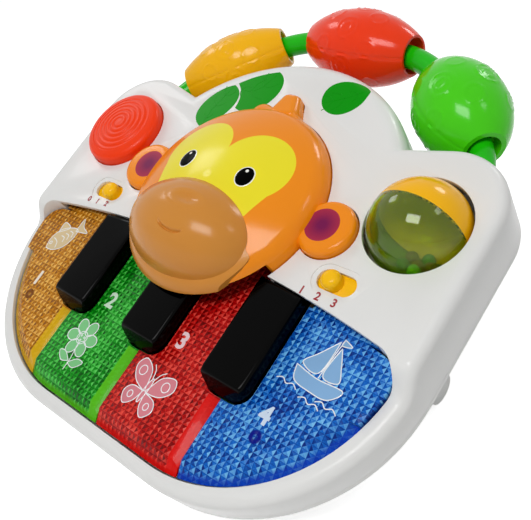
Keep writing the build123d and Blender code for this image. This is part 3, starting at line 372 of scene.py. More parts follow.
def earPlastic(name):
    e = earLook
    material, tree, shader, coords = startMaterial(name)
    link = tree.links.new
    flat = flatCoords(tree, coords)
    split = tree.nodes.new("ShaderNodeSeparateXYZ")
    link(flat, split.inputs[0])
    either = mathNode(tree, "ABSOLUTE", split.outputs["X"])
    far = distanceTo(tree, either, split.outputs["Y"], e["middle"])
    group = tree.nodes.new("ShaderNodeGroup")
    group.node_tree = mould
    link(coords, group.inputs["Vector"])
    fade = mapRange(tree, far, e["fadeFrom"], e["fadeTo"], 0, 1)
    link(mixColours(tree, fade, (*linear(*e["inner"]), 1), (*linear(*e["outer"]), 1)),
         group.inputs["Colour"])
    group.inputs["Roughness"].default_value = e["roughness"]
    link(group.outputs["Colour"], shader.inputs["Base Color"])
    link(group.outputs["Roughness"], shader.inputs["Roughness"])
    addBump(tree, shader, group.outputs["Height"], e["grain"], mouldLook["bumpDistance"])
    setInputs(shader, Coat_Weight=e["coat"], Coat_Roughness=e["coatRoughness"],
              Specular_IOR_Level=e["specular"])
    return material


def letLightIn(material, share):
    # shadow rays pass the clear plastic, so that what lies behind it is lit
    tree = material.node_tree
    path = tree.nodes.new("ShaderNodeLightPath")
    alpha = mapRange(tree, path.outputs["Is Shadow Ray"], 0, 1, 1, 1 - share)
    tree.links.new(alpha, tree.nodes["Principled BSDF"].inputs["Alpha"])


# one for each slot: its colour, roughness and coat
satin = {"Specular_IOR_Level": 0.16}
materials = {
    "white_shell": plastic("whiteShell", linear(230, 230, 228), 0.34, 0.1, Specular_IOR_Level=0.2),
    "black_key": plastic("blackKey", linear(0, 0, 0), 0.12, 0.02, Specular_IOR_Level=0.04),
    "orange_head": plastic("orangeHead", linear(245, 142, 16), 0.16, 0.05, **satin),
    "mask_yellow": plastic("maskYellow", linear(240, 226, 40), 0.22, 0.05, **satin),
    "muzzle_brown": plastic("muzzleBrown", linear(208, 138, 56), 0.2, 0.05, **satin),
    "inner_ear": earPlastic("innerEar"),
    "eye_black": plastic("eyeBlack", linear(1, 1, 1), 0.2, 0.0, Specular_IOR_Level=0.02),
    "button_orange": plastic("buttonOrange", linear(246, 60, 8), 0.36, 0.03, **satin),
    "yellow_plastic": plastic("yellowPlastic", linear(252, 186, 4), 0.16, 0.05, **satin),
    "green_window": plastic("greenWindow", linear(150, 186, 18), 0.02, 0.3, wear=0.01, grain=0.0,
                            Transmission_Weight=0.9, IOR=1.25),
    "bead_orange": plastic("beadOrange", linear(248, 58, 6), 0.16, 0.08, **satin),
    "bead_green": plastic("beadGreen", linear(72, 212, 8), 0.16, 0.08, **satin),
    "tube_green": plastic("tubeGreen", linear(26, 190, 10), 0.2, 0.05, **satin),
    "leaf_green": plastic("leafGreen", linear(6, 150, 8), 0.3, 0.0, Specular_IOR_Level=0.05),
    "slider_orange": plastic("sliderOrange", linear(253, 194, 8), 0.25, 0.05, **satin),
    "dark_plastic": plastic("darkPlastic", linear(40, 40, 43), 0.5),
    "circuit_green": plastic("circuitGreen", linear(20, 90, 45), 0.4, 0.3),
    "silicone": plastic("silicone", linear(185, 186, 190), 0.6),
    "foot_rubber": plastic("footRubber", linear(60, 60, 60), 0.75),
    "steel": plastic("steel", linear(190, 190, 192), 0.3, Metallic=1.0),
    "cell_jacket": plastic("cellJacket", linear(50, 50, 55), 0.35, 0.4),
    "speaker_black": plastic("speakerBlack", linear(25, 25, 26), 0.6),
}
letLightIn(materials["green_window"], share=0.8)
for slotName, look in keyLooks.items():
    materials[slotName] = keyPlastic(slotName.replace("_clear", "Clear"), look)
printInk = plastic("printInk", linear(235, 238, 240), 0.35, 0.5)
labelInk = plastic("labelInk", linear(150, 20, 30), 0.5)
eyeWhite = plastic("eyeWhite", linear(240, 240, 232), 0.25, 0.6)
print("made", len(materials), "materials")


# the parts of the toy as built, each merged, with its sharp edges eased by so many millimetres

handMade = ["yellow_bead", "red_bead", "green_bead", "muzzle", "eyes", "round_button", "rattle_beads"]
edgeEase = {"amber_key": 0.5, "green_key": 0.5, "red_key": 0.5, "blue_key": 0.5, "front_cover": 0.5,
            "rear_cover": 0.4, "left_black_key": 0.3, "middle_black_key": 0.3, "right_black_key": 0.3,
            "left_leg": 1.0, "right_leg": 1.0, "battery_door": 0.4, "rubber_feet": 0.5,
            "left_switch_knob": 0.4, "right_switch_knob": 0.4}
# weld in metres, flat and sharp in degrees
skin = {"weld": 2e-6, "flat": 0.6, "sharp": 28, "segments": 2, "profile": 0.5}


def shadeEdges(bm, sharp):
    for face in bm.faces:
        face.smooth = True
    for edge in bm.edges:
        edge.smooth = len(edge.link_faces) == 2 and edge.calc_face_angle(0) < math.radians(sharp)


def dressNode(name, slotName):
    bm = bmesh.new()
    bm.from_mesh(nodes[name].data)
    bmesh.ops.remove_doubles(bm, verts=bm.verts, dist=skin["weld"])
    if name in edgeEase:
        bmesh.ops.dissolve_limit(bm, angle_limit=math.radians(skin["flat"]), verts=bm.verts,
                                 edges=bm.edges)
        sharp = [e for e in bm.edges if len(e.link_faces) == 2
                 and e.calc_face_angle(0) > math.radians(skin["sharp"])]
        bmesh.ops.bevel(bm, geom=sharp, offset=edgeEase[name] * mm, offset_type="OFFSET",
                        segments=skin["segments"], profile=skin["profile"], affect="EDGES",
                        clamp_overlap=True, material=-1)
    shadeEdges(bm, skin["sharp"])
    mesh = meshFrom(name + "_skin", bm)
    mesh.materials.append(materials[slotName])
    piece = newObject(name + "_skin", mesh)
    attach(piece, nodes[name]["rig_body"])
    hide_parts(name)


dressed = [part for part in frame["record"]["subparts"] if part["node"] not in handMade]
for part in dressed:
    dressNode(part["node"], part["material_slot"])
print("dressed", len(dressed), "parts")


# pieces modelled one by one, with corners this close taken as one, in millimetres

tolerance = 1e-4


def addPiece(name, bm, material, body, stands=None, sharp=40):
    bmesh.ops.remove_doubles(bm, verts=bm.verts, dist=tolerance)
    bmesh.ops.recalc_face_normals(bm, faces=bm.faces)
    shadeEdges(bm, sharp)
    mesh = meshFrom(name, bm)
    mesh.transform(standUp @ Matrix.Scale(mm, 4))
    mesh.materials.append(material)
    piece = newObject(name, mesh)
    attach(piece, body)
    if stands:
        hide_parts(stands)


def spunShape(profile, steps, ring=False):
    # the profile is a row of (radius, height) turned about Z, closed on itself for a ring
    bm = bmesh.new()
    verts = [bm.verts.new((r, 0, z)) for r, z in profile]
    ends = verts[1:] + verts[:1] if ring else verts[1:]
    edges = [bm.edges.new(pair) for pair in zip(verts, ends)]
    bmesh.ops.spin(bm, geom=verts + edges, cent=(0, 0, 0), axis=(0, 0, 1), dvec=(0, 0, 0),
                   angle=math.tau, steps=steps, use_merge=True)
    bmesh.ops.remove_doubles(bm, verts=bm.verts, dist=tolerance)
    return bm


def ball(radius, across=32, up=24):
    bm = bmesh.new()
    bmesh.ops.create_uvsphere(bm, u_segments=across, v_segments=up, radius=radius)
    return bm


# beads of the carrying handle, with circles standing up from the shell and a seam along each
beads = {"archRadius": 115.0, "centreY": 31.0, "depth": -19.0, "turn": math.radians(40.8),
         "endRadius": 10.8, "endSlack": 0.01, "bore": 6.15, "lip": 1.0, "lipShare": 0.3,
         "mouthDepth": 7.0, "mouthEdge": 1, "arcSteps": 64, "turns": 128, "circles": 6,
         "firstCircle": 0.35, "big": 6.4, "small": 3.0, "endCircle": 4.6, "endPlace": 0.42,
         "raise": 0.4, "ringFrom": 0.1, "ringTo": 0.8, "seamFrom": 0.2, "seamTo": 0.9,
         "seamDepth": 0.35, "spin": 0.9}
beadKinds = {
    "yellow_bead": {"half": 31.5, "radius": 18.6, "mouth": 8.8, "slot": "yellow_plastic", "side": -1},
    "red_bead": {"half": 32.5, "radius": 20.8, "mouth": 9.2, "slot": "bead_orange", "side": 0},
    "green_bead": {"half": 28.5, "radius": 23.2, "mouth": 8.2, "slot": "bead_green", "side": 1},
}


def beadRings(kind):
    # place along the bead, angle round it and size of each circle
    spread = kind["half"] * beads["endPlace"]
    rings = []
    for i in range(beads["circles"]):
        angle = math.tau * i / beads["circles"] + beads["firstCircle"]
        rings.append((0.0, angle, beads["big"]))
        rings.append((0.0, angle, beads["small"]))
        for end in (-1, 1):
            rings.append((end * spread, angle + math.pi / beads["circles"], beads["endCircle"]))
    return rings


def beadProfile(kind):
    half, end = kind["half"], beads["endRadius"]
    curve = (half ** 2 + (kind["radius"] - end) ** 2) / (2 * (kind["radius"] - end))
    mouth, bore, deep, edge = kind["mouth"], beads["bore"], beads["mouthDepth"], beads["mouthEdge"]
    lip = mouth + beads["lip"] * beads["lipShare"]
    profile = [(bore, -half + deep), (mouth, -half + deep), (mouth, -half + edge), (lip, -half)]
    steps = beads["arcSteps"]
    for i in range(steps + 1):
        s = -half + 2 * half * i / steps
        profile.append((kind["radius"] - curve + math.sqrt(curve ** 2 - s ** 2), s))
    profile += [(lip, half), (mouth, half - edge), (mouth, half - deep), (bore, half - deep)]
    return profile


def makeBead(name, kind):
    bm = spunShape(beadProfile(kind), beads["turns"], ring=True)
    rings = beadRings(kind)
    for vert in bm.verts:
        r = math.hypot(vert.co.x, vert.co.y)
        if r < beads["endRadius"] - beads["endSlack"]:
            continue
        s, angle = vert.co.z, math.atan2(vert.co.y, vert.co.x)
        rise = 0.0
        for ringS, ringAngle, size in rings:
            turn = (angle - ringAngle + math.pi) % math.tau - math.pi
            gap = abs(math.hypot(s - ringS, r * turn) - size)
            rise = max(rise, 1 - smoothStep(gap, beads["ringFrom"], beads["ringTo"]))
        seam = 1 - smoothStep(abs(math.sin(angle)) * r, beads["seamFrom"], beads["seamTo"])
        move = 1 + (rise * beads["raise"] - seam * beads["seamDepth"]) / r
        vert.co.x *= move
        vert.co.y *= move
    turn = beads["turn"] * kind["side"]
    spot = Matrix.Translation((beads["archRadius"] * math.sin(turn),
                               beads["centreY"] + beads["archRadius"] * math.cos(turn), beads["depth"]))
    bm.transform(spot @ Matrix.Rotation(-turn, 4, "Z") @ Matrix.Rotation(math.radians(90), 4, "Y")
                 @ Matrix.Rotation(beads["spin"], 4, "Z"))
    addPiece(name + "_shell", bm, materials[kind["slot"]], name + "_body", name)


for name, kind in beadKinds.items():
    makeBead(name, kind)
print("made the beads")


# monkey's face: the chin and the eyes follow the head's dome
head = {"y": 26.4, "radius": 54.0, "height": 22.0, "edge": 12.0}
headRun = head["radius"] - head["edge"]
headCrown = ((headRun ** 2 + head["height"] ** 2 - head["edge"] ** 2)
             / (2 * (head["height"] - head["edge"])))
headJoin = headRun + head["edge"] * math.cos(math.atan2(headCrown - head["height"], headRun))


def skullHeight(x, y):
    r = math.hypot(x, y - head["y"])
    if r < headJoin:
        return head["height"] - headCrown + math.sqrt(headCrown ** 2 - r * r)
    return math.sqrt(max(head["edge"] ** 2 - (r - headRun) ** 2, 0))


# muzzle: a rounded cushion with a nose and a smile pressed in
muzzle = {"halfX": 39.5, "halfY": 26.5, "y": 2.2, "waist": 3.4, "top": 32.0, "floor": 5.0,
          "across": 192, "up": 224, "noseX": 7.0, "noseY": 8.4, "noseHalfX": 7.0, "noseHalfY": 3.4,
          "noseDepth": 1.5, "noseFrom": 0.15, "noseTo": 1.15, "lip": 0.2, "lipPlace": 1.45,
          "lipWidth": 0.5, "smileX": 7.0, "smileY": -4.2, "smileHalf": 8.5, "smileDrop": 4.4,
          "smileDepth": 1.3, "smileFade": 0.6, "smileFrom": 0.15, "smileWidth": 0.95, "dentFrom": 3}


def muzzleDent(x, y):
    m = muzzle
    n = math.hypot((x - m["noseX"]) / m["noseHalfX"], (y - m["noseY"]) / m["noseHalfY"])
    dent = m["noseDepth"] * (1 - smoothStep(n, m["noseFrom"], m["noseTo"]))
    dent -= m["lip"] * (1 - smoothStep(abs(n - m["lipPlace"]), 0.0, m["lipWidth"]))
    side = abs(x - m["smileX"])
    if side < m["smileHalf"]:
        curve = m["smileY"] - m["smileDrop"] * math.sqrt(1 - (side / m["smileHalf"]) ** 2)
        fade = 1 - smoothStep(side, m["smileHalf"] * m["smileFade"], m["smileHalf"])
        near = 1 - smoothStep(abs(y - curve), m["smileFrom"], m["smileWidth"])
        dent += m["smileDepth"] * fade * near
    return dent


def makeMuzzle():
    m = muzzle
    bm = ball(1.0, m["across"], m["up"])
    bm.transform(Matrix.Translation((0, m["y"], m["waist"]))
                 @ Matrix.Diagonal((m["halfX"], m["halfY"], m["top"] - m["waist"], 1)))
    cut = bmesh.ops.bisect_plane(bm, geom=bm.verts[:] + bm.edges[:] + bm.faces[:], dist=tolerance,
                                 plane_co=(0, 0, m["floor"]), plane_no=(0, 0, 1), clear_inner=True)
    rim = [e for e in cut["geom_cut"] if isinstance(e, bmesh.types.BMEdge)]
    bmesh.ops.edgeloop_fill(bm, edges=rim)
    for vert in bm.verts:
        if vert.co.z > m["waist"] + m["dentFrom"]:
            vert.co.z -= muzzleDent(vert.co.x, vert.co.y)
    addPiece("muzzle_shell", bm, materials["muzzle_brown"], "head", "muzzle")


# chin of the muzzle, a thin skin over the head's lower edge
chin = {"proud": 0.45, "swell": 1.1, "thick": 0.3, "from": 30.0, "wide": 57.0, "narrow": 35.0,
        "turnIn": 48.5, "turnOut": 55.0, "floor": 4.0, "around": 120, "steps": 14, "roll": 18}


def chinProfile(proud, swell):
    c = chin
    points = []
    for i in range(c["steps"]):
        r = c["from"] + (headJoin - c["from"]) * i / c["steps"]
        points.append((r, skullHeight(r, head["y"]) + proud))
    start = math.atan2(headCrown - head["height"], headRun)
    last = math.asin(c["floor"] / (head["edge"] + proud + swell))
    for i in range(c["roll"] + 1):
        share = i / c["roll"]
        a = start + (last - start) * share
        edge = head["edge"] + proud + swell * smoothStep(share, 0, 1)
        points.append((headRun + edge * math.cos(a), edge * math.sin(a)))
    return points


def makeChin():
    c = chin
    bm = bmesh.new()
    outline = chinProfile(c["proud"], c["swell"]) + chinProfile(-c["thick"], 0)[::-1]
    rows = []
    for j in range(c["around"] + 1):
        row = []
        for r, z in outline:
            inward = smoothStep(r, c["turnIn"], c["turnOut"])
            reach = math.radians(c["wide"] + (c["narrow"] - c["wide"]) * inward)
            turn = reach * (2 * j / c["around"] - 1)
            row.append(bm.verts.new((r * math.sin(turn), head["y"] - r * math.cos(turn), z)))
        rows.append(row)
    for before, after in zip(rows, rows[1:]):
        for k in range(len(outline)):
            n = (k + 1) % len(outline)
            bm.faces.new((before[k], before[n], after[n], after[k]))
    bm.faces.new(rows[0])
    bm.faces.new(rows[-1][::-1])
    addPiece("muzzle_chin", bm, materials["muzzle_brown"], "head")


# rounded lock of hair over the tuft: rows of (x, y, radius, top), one row for each round swelling
lock = {"swellings": [[(-1.2, 86.7, 4.6, 7.0), (1.7, 86.7, 4.6, 7.0), (6.6, 78.8, 4.6, 8.2),
                       (-2.6, 77.0, 4.6, 8.2)],
                      [(6.6, 78.8, 3.2, 7.6), (16.5, 72.2, 4.0, 7.4), (4.0, 72.0, 4.0, 8.2)],
                      [(-12.0, 75.7, 6.8, 7.4), (-6.0, 74.0, 6.8, 8.2)]],
        "floor": -1.5, "brow": 2.4, "around": 40, "up": 10, "sharp": 80}


def makeLock():
    bm = bmesh.new()
    for swelling in lock["swellings"]:
        verts = []
        for x, y, radius, top in swelling:
            for i in range(lock["up"] + 1):
                rise = math.pi / 2 * i / lock["up"]
                for k in range(lock["around"] if i < lock["up"] else 1):
                    a = math.tau * k / lock["around"]
                    r = radius * math.cos(rise)
                    spot = (x + r * math.cos(a), y + r * math.sin(a))
                    z = lock["brow"] + (top - lock["brow"]) * math.sin(rise)
                    verts.append(bm.verts.new((*spot, z)))
                    if i == 0:
                        verts.append(bm.verts.new((*spot, lock["floor"])))
        hull = bmesh.ops.convex_hull(bm, input=verts)
        inner = [v for v in hull["geom_interior"] if isinstance(v, bmesh.types.BMVert)]
        bmesh.ops.delete(bm, geom=inner, context="VERTS")
    loose = [v for v in bm.verts if not v.link_faces]
    bmesh.ops.delete(bm, geom=loose, context="VERTS")
    addPiece("tuft_lock", bm, materials["orange_head"], "head", sharp=lock["sharp"])


# eyes: a pale rim, a pupil and a painted glint, a white dot standing in for a lamp's reflection, one
# lying over another
eyes = {"x": 19.4, "y": 31.8, "halfX": 4.4, "halfY": 5.3, "rim": 0.4, "rimRise": 0.25, "rise": 0.5,
        "paintedGlintX": -0.4, "paintedGlintY": 2.9, "paintedGlintR": 1.05, "paintedGlintRise": 0.15, "across": 48, "up": 24}


def drapedOval(x, y, halfX, halfY, rise, drape):
    bm = ball(1.0, eyes["across"], eyes["up"])
    bm.transform(Matrix.Translation((x, y, 0)) @ Matrix.Diagonal((halfX, halfY, rise, 1)))
    for vert in bm.verts:
        vert.co.z += drape(vert.co.x, vert.co.y)
    return bm


def makeEyes():
    e = eyes
    pupils = bmesh.new()
    for side, label in ((-1, "left"), (1, "right")):
        x, y = side * e["x"], e["y"]
        rim = drapedOval(x, y, e["halfX"] + e["rim"], e["halfY"] + e["rim"], e["rimRise"], skullHeight)
        addPiece(label + "_eye_rim", rim, eyeWhite, "head")
        # painted highlight: a raised white dot standing in for a lamp's reflection on the eye
        paintedGlint = drapedOval(x + e["paintedGlintX"], y + e["paintedGlintY"], e["paintedGlintR"], e["paintedGlintR"],
                           e["rise"] + e["paintedGlintRise"], skullHeight)
        addPiece(label + "_eye_painted_glint", paintedGlint, eyeWhite, "head")
        pupil = drapedOval(x, y, e["halfX"], e["halfY"], e["rise"], skullHeight)
        pupils.from_mesh(meshFrom("pupil", pupil))
    addPiece("eye_pupils", pupils, materials["eye_black"], "head", "eyes")


makeChin()
makeLock()
makeMuzzle()
makeEyes()
print("made the face")


# round button: a low dome with a spiral groove
button = {"x": -98.0, "y": 45.0, "radius": 23.7, "side": 3.0, "height": 9.2, "edge": 3.5, "wall": 2.2,
          "rings": 110, "turns": 160, "pitch": 3.1, "groove": 0.42, "field": 19.5, "low": -4.8,
          "step": -2.8, "flange": 25.3, "roll": 12, "fieldEdge": 1, "hubFrom": 1.5, "hubTo": 3.5,
          "grooveShape": 1.5, "hollow": 1, "sharp": 50}


def makeButton():
    b = button
    run = b["radius"] - b["edge"]
    rise = b["height"] - b["side"]
    crown = (run ** 2 + rise ** 2 - b["edge"] ** 2) / (2 * (rise - b["edge"]))
    lean = math.atan2(crown - rise, run)
    join = run + b["edge"] * math.cos(lean)
    profile = [(0, b["height"])]
    for i in range(1, b["rings"] + 1):
        r = join * i / b["rings"]
        profile.append((r, b["height"] - crown + math.sqrt(crown ** 2 - r * r)))
    for i in range(1, b["roll"] + 1):
        a = lean * (1 - i / b["roll"])
        profile.append((run + b["edge"] * math.cos(a), b["side"] + b["edge"] * math.sin(a)))
    inner = b["radius"] - b["wall"]
    profile += [(b["radius"], b["step"]), (b["flange"], b["step"]), (b["flange"], b["low"]),
                (inner, b["low"]), (inner, b["side"]), (0, b["height"] - b["wall"] - b["hollow"])]
    bm = spunShape(profile, b["turns"])
    for vert in bm.verts:
        r = math.hypot(vert.co.x, vert.co.y)
        if vert.co.z < b["height"] - b["wall"] or r > b["field"] + b["fieldEdge"]:
            continue
        turn = math.atan2(vert.co.y, vert.co.x) / math.tau
        wave = 0.5 - 0.5 * math.cos(math.tau * (r / b["pitch"] - turn))
        fade = smoothStep(r, b["hubFrom"], b["hubTo"])
        fade *= 1 - smoothStep(r, b["field"] - b["fieldEdge"], b["field"] + b["fieldEdge"])
        vert.co.z -= b["groove"] * fade * wave ** b["grooveShape"]
    bm.transform(Matrix.Translation((b["x"], b["y"], 0)))
    addPiece("round_button_cap", bm, materials["button_orange"], "button", "round_button",
             sharp=b["sharp"])


makeButton()


# rattle balls lying at the bottom of the spinner
rattle = {"x": 98.0, "y": 45.0, "z": -5.0, "run": 18.0, "size": 3.2, "spread": math.radians(21),
          "seam": 1.02, "seamHalf": 0.2, "roll": 0.7, "roughness": 0.12, "coat": 0.8,
          "colours": [(120, 60, 25), (110, 200, 30), (20, 120, 40), (120, 60, 25), (30, 130, 45),
                      (110, 50, 25)]}


def makeRattle():
    r = rattle
    down = Vector((0, -math.sin(stance["lean"]), -math.cos(stance["lean"])))
    side = Vector((1, 0, 0))
    other = down.cross(side)
    for i, colour in enumerate(r["colours"]):
        aim = down
        if i > 0:
            a = math.tau * i / (len(r["colours"]) - 1)
            outward = side * math.cos(a) + other * math.sin(a)
            aim = down * math.cos(r["spread"]) + outward * math.sin(r["spread"])
        bm = ball(r["size"])
        # moulding seam round the middle
        belt = [v for v in bm.verts if abs(v.co.z) < r["seamHalf"]]
        bmesh.ops.scale(bm, vec=(r["seam"], r["seam"], 1), verts=belt)
        bm.transform(Matrix.Translation(Vector((r["x"], r["y"], r["z"])) + aim * r["run"])
                     @ Matrix.Rotation(i * r["roll"], 4, "X"))
        material = plastic("rattleBall%d" % i, linear(*colour), r["roughness"], r["coat"])
        stands = None if i else "rattle_beads"
        addPiece("rattle_ball_%d" % (i + 1), bm, material, "spinner", stands)


makeRattle()
print("made the button and rattle")


# ink on the keys and by the switches: thin shapes lying on the surface
ink = {"keyTop": -8.0, "lift": 0.03, "thick": 0.08, "line": 0.24, "layer": 0.004, "lineLift": 0.05,
       "curveSteps": 6, "numberSize": 11.5, "numberBold": 0.4, "labelBold": 0.14, "pale": 0.5}


def meshOf(curve):
    carrier = bpy.data.objects.new("carrier", curve)
    mesh = bpy.data.meshes.new_from_object(carrier)
    bpy.data.objects.remove(carrier)
    return mesh


def inkPiece(name, mesh, height, material, body, drape=None, flatten=1.0):
    bm = bmesh.new()
    bm.from_mesh(mesh)
    for vert in bm.verts:
        surface = drape(vert.co.x, vert.co.y) if drape else height
        vert.co.z = surface + vert.co.z * flatten
    addPiece(name, bm, material, body)


def drawText(name, text, size, place, height, material, body, bold):
    curve = bpy.data.curves.new(name, "FONT")
    curve.body = text
    curve.size = size
    curve.align_x = "CENTER"
    curve.align_y = "CENTER"
    curve.offset = bold
    curve.extrude = ink["thick"] / 2
    curve.resolution_u = ink["curveSteps"]
    mesh = meshOf(curve)
    mesh.transform(Matrix.Translation((*place, 0)))
    inkPiece(name, mesh, height + ink["thick"] / 2 + ink["lift"], material, body)


def drawFill(name, loop, height, material, body):
    bm = bmesh.new()
    bm.faces.new([bm.verts.new((x, y, 0)) for x, y in loop])
    bmesh.ops.triangulate(bm, faces=bm.faces)
    sheet = bmesh.ops.extrude_face_region(bm, geom=bm.faces[:])
    top = [v for v in sheet["geom"] if isinstance(v, bmesh.types.BMVert)]
    bmesh.ops.translate(bm, vec=(0, 0, ink["thick"]), verts=top)
    bmesh.ops.translate(bm, vec=(0, 0, height + ink["lift"]), verts=bm.verts)
    addPiece(name, bm, material, body)


def drawLines(name, lines, width, height, material, body, drape=None):
    # each line is (points, closed)
    curve = bpy.data.curves.new(name, "CURVE")
    curve.dimensions = "3D"
    curve.bevel_depth = width
    curve.bevel_resolution = 1
    curve.use_fill_caps = True
    for points, closed in lines:
        spline = curve.splines.new("POLY")
        spline.points.add(len(points) - 1)
        for point, (x, y) in zip(spline.points, points):
            point.co = (x, y, 0, 1)
        spline.use_cyclic_u = closed
    inkPiece(name, meshOf(curve), height + ink["lift"] + ink["thick"] / 2, material, body, drape,
             flatten=ink["thick"] / width if drape is None else 1.0)


def oval(x, y, halfX, halfY, turn=0.0, steps=40):
    c, s = math.cos(turn), math.sin(turn)
    points = []
    for i in range(steps):
        a = math.tau * i / steps
        u, v = halfX * math.cos(a), halfY * math.sin(a)
        points.append((x + u * c - v * s, y + u * s + v * c))
    return points


def curvedLine(points, steps=8):
    # a smooth line through the points
    ends = [points[0]] + list(points) + [points[-1]]
    line = []
    for a, b, c, d in zip(ends, ends[1:], ends[2:], ends[3:]):
        for i in range(steps):
            t = i / steps
            line.append(tuple(0.5 * (2 * q + (r - p) * t + (2 * p - 5 * q + 4 * r - s) * t * t
                                     + (3 * q - p - 3 * r + s) * t ** 3)
                              for p, q, r, s in zip(a, b, c, d)))
    line.append(points[-1])
    return line


def moved(points, x, y, size, turn):
    c, s = math.cos(turn), math.sin(turn)
    return [(x + size * (u * c - v * s), y + size * (u * s + v * c)) for u, v in points]


def closedCurve(points):
    return curvedLine(list(points) + [points[0]])[:-1]


# a fish, a flower, a butterfly and a sailing boat, drawn about their own middles
motifs = {
    "amber_key": {"place": (-97.0, -27.0), "size": 1.0, "turn": 0.85, "tint": (226, 200, 150)},
    "green_key": {"place": (-36.0, -71.0), "size": 1.0, "turn": 0.1, "tint": (120, 205, 130)},
    "red_key": {"place": (18.0, -72.0), "size": 1.0, "turn": -0.1, "tint": (214, 122, 134)},
    "blue_key": {"place": (92.0, -26.0), "size": 1.1, "turn": -0.1, "tint": (130, 178, 224)},
}


def fishDrawing():
    body = closedCurve([(-11, 0), (-7, 5), (0, 7), (7, 4.5), (11, 0.5), (7, -3.8), (0, -6), (-7, -4)])
    tail = closedCurve([(9.5, 0.5), (16, 6), (15, 0.5), (16.5, -5)])
    fin = closedCurve([(-2, 6.4), (3, 11), (6, 5)])
    gill = curvedLine([(-5, 4), (-3.4, 0), (-5, -3.6)])
    scales = [curvedLine([(x, 2.6), (x + 1.6, 0.2), (x, -2.2)]) for x in (0, 3, 6)]
    eye = oval(-7.4, 1.6, 0.9, 0.9, steps=16)
    return [body, tail, fin], [(gill, False), (eye, True)] + [(line, False) for line in scales]


def flowerDrawing():
    petals = []
    for i in range(6):
        a = math.tau * i / 6
        petals.append(oval(6.4 * math.cos(a), 4 + 6.4 * math.sin(a), 4.2, 3.2, a, 28))
    middle = oval(0, 4, 3.4, 3.4, steps=28)
    leaf = closedCurve([(0, -10), (5, -6.6), (9.6, -7.4), (5, -11.4)])
    other = closedCurve([(0, -9), (-5, -5.2), (-9, -5.8), (-5, -10)])
    stem = curvedLine([(0, -2.6), (0.6, -8), (0, -14)])
    seeds = [oval(1.4 * math.cos(a), 4 + 1.4 * math.sin(a), 0.4, 0.4, steps=10) for a in (0.3, 2.4, 4.5)]
    return petals + [middle, leaf, other], [(stem, False)] + [(seed, True) for seed in seeds]


def butterflyDrawing():
    fills = []
    lines = []
    for side in (-1, 1):
        upper = [(0.8, 1), (4, 9), (11, 12), (13.6, 7), (9, 1.4), (1, -0.6)]
        lower = [(1, -0.8), (8, -1.6), (10.6, -6), (7, -10.6), (2.6, -7)]
        fills.append(closedCurve([(side * x, y) for x, y in upper]))
        fills.append(closedCurve([(side * x, y) for x, y in lower]))
        lines.append((oval(side * 8.6, 6.6, 2.2, 2.4, steps=20), True))
        lines.append((oval(side * 6.2, -5.4, 1.5, 1.7, steps=20), True))
        lines.append((curvedLine([(side * 0.4, 5), (side * 2, 9.6), (side * 4.4, 12)]), False))
    fills.append(oval(0, 0, 1.3, 6.4, steps=28))
    return fills, lines


def boatDrawing():
    hull = closedCurve([(-11, -4), (0, -4.8), (12, -3.6), (8.6, -9.4), (0, -10.4), (-8, -9.6)])
    sail = closedCurve([(-0.8, 12), (-5.6, 4), (-9.4, -2.2), (-0.8, -2.6)])
    jib = closedCurve([(1.2, 10), (5.4, 4), (8.6, -2), (1.2, -2.6)])
    mast = [(0.2, 13.4), (0.2, -4.4)]
    flag = closedCurve([(0.2, 13.4), (4.4, 12.2), (0.4, 10.8)])
    waves = [curvedLine([(x, y), (x + 2.6, y + 1.3), (x + 5.2, y), (x + 7.8, y + 1.3), (x + 10.4, y)])
             for x, y in ((-15, -12.6), (-2, -14.4), (5, -12.2))]
    return [hull, sail, jib, flag], [(mast, False)] + [(wave, False) for wave in waves]


drawings = {"amber_key": fishDrawing, "green_key": flowerDrawing, "red_key": butterflyDrawing,
            "blue_key": boatDrawing}
for key, draw in drawings.items():
    look = motifs[key]
    fills, lines = draw()
    fills = [moved(loop, *look["place"], look["size"], look["turn"]) for loop in fills]
    lines = [(moved(points, *look["place"], look["size"], look["turn"]), closed)
             for points, closed in lines]
    tint = plastic(key.replace("_key", "PrintTint"), linear(*look["tint"]), 0.3, 0.2, tone=0.25)
    for i, loop in enumerate(fills):
        drawFill("%s_print_%d" % (key, i + 1), loop, ink["keyTop"] + ink["layer"] * i, tint,
                 key + "_body")
    drawLines(key + "_print_lines", [(loop, True) for loop in fills] + lines, ink["line"],
              ink["keyTop"] + ink["lineLift"], printInk, key + "_body")

numbers = {
    "amber_key": {"text": "1", "place": (-93.0, -52.4)},
    "green_key": {"text": "2", "place": (-34.5, -44.0)},
    "red_key": {"text": "3", "place": (20.0, -44.5)},
    "blue_key": {"text": "4", "place": (79.8, -54.7)},
}
for key, number in numbers.items():
    colour = [ink["pale"] + (1 - ink["pale"]) * c for c in linear(*motifs[key]["tint"])]
    paint = plastic(key.replace("_key", "NumberInk"), colour, 0.35, 0.2)
    drawText(key + "_number", number["text"], ink["numberSize"], number["place"], ink["keyTop"], paint,
             key + "_body", ink["numberBold"])

# marks by the switches: name, texts, their places and size
labels = [("right_mark", ("1", "2", "3"), ((66.6, -1.4), (75.4, -1.4), (84.2, -1.4)), 5.4),
          ("left_mark", ("0", "1", "2"), ((-88.4, -1.2), (-81.6, -0.8), (-74.4, -0.2)), 4.4)]
for name, texts, places, size in labels:
    for i, text in enumerate(texts):
        drawText("%s_%d" % (name, i + 1), text, size, places[i], 0.0, labelInk, "case", ink["labelBold"])


# veins on the three leaves, lying on the rounded edge of the dome
dome = {"y": 30.0, "radius": 88.0, "edge": 8.5}
veins = {"width": 0.42, "step": 6, "sink": 0.28, "bareEnd": 2, "firstRib": 5,
         "ribMiddle": (0.3, 0.5), "ribEnd": (0.9, 0.8)}


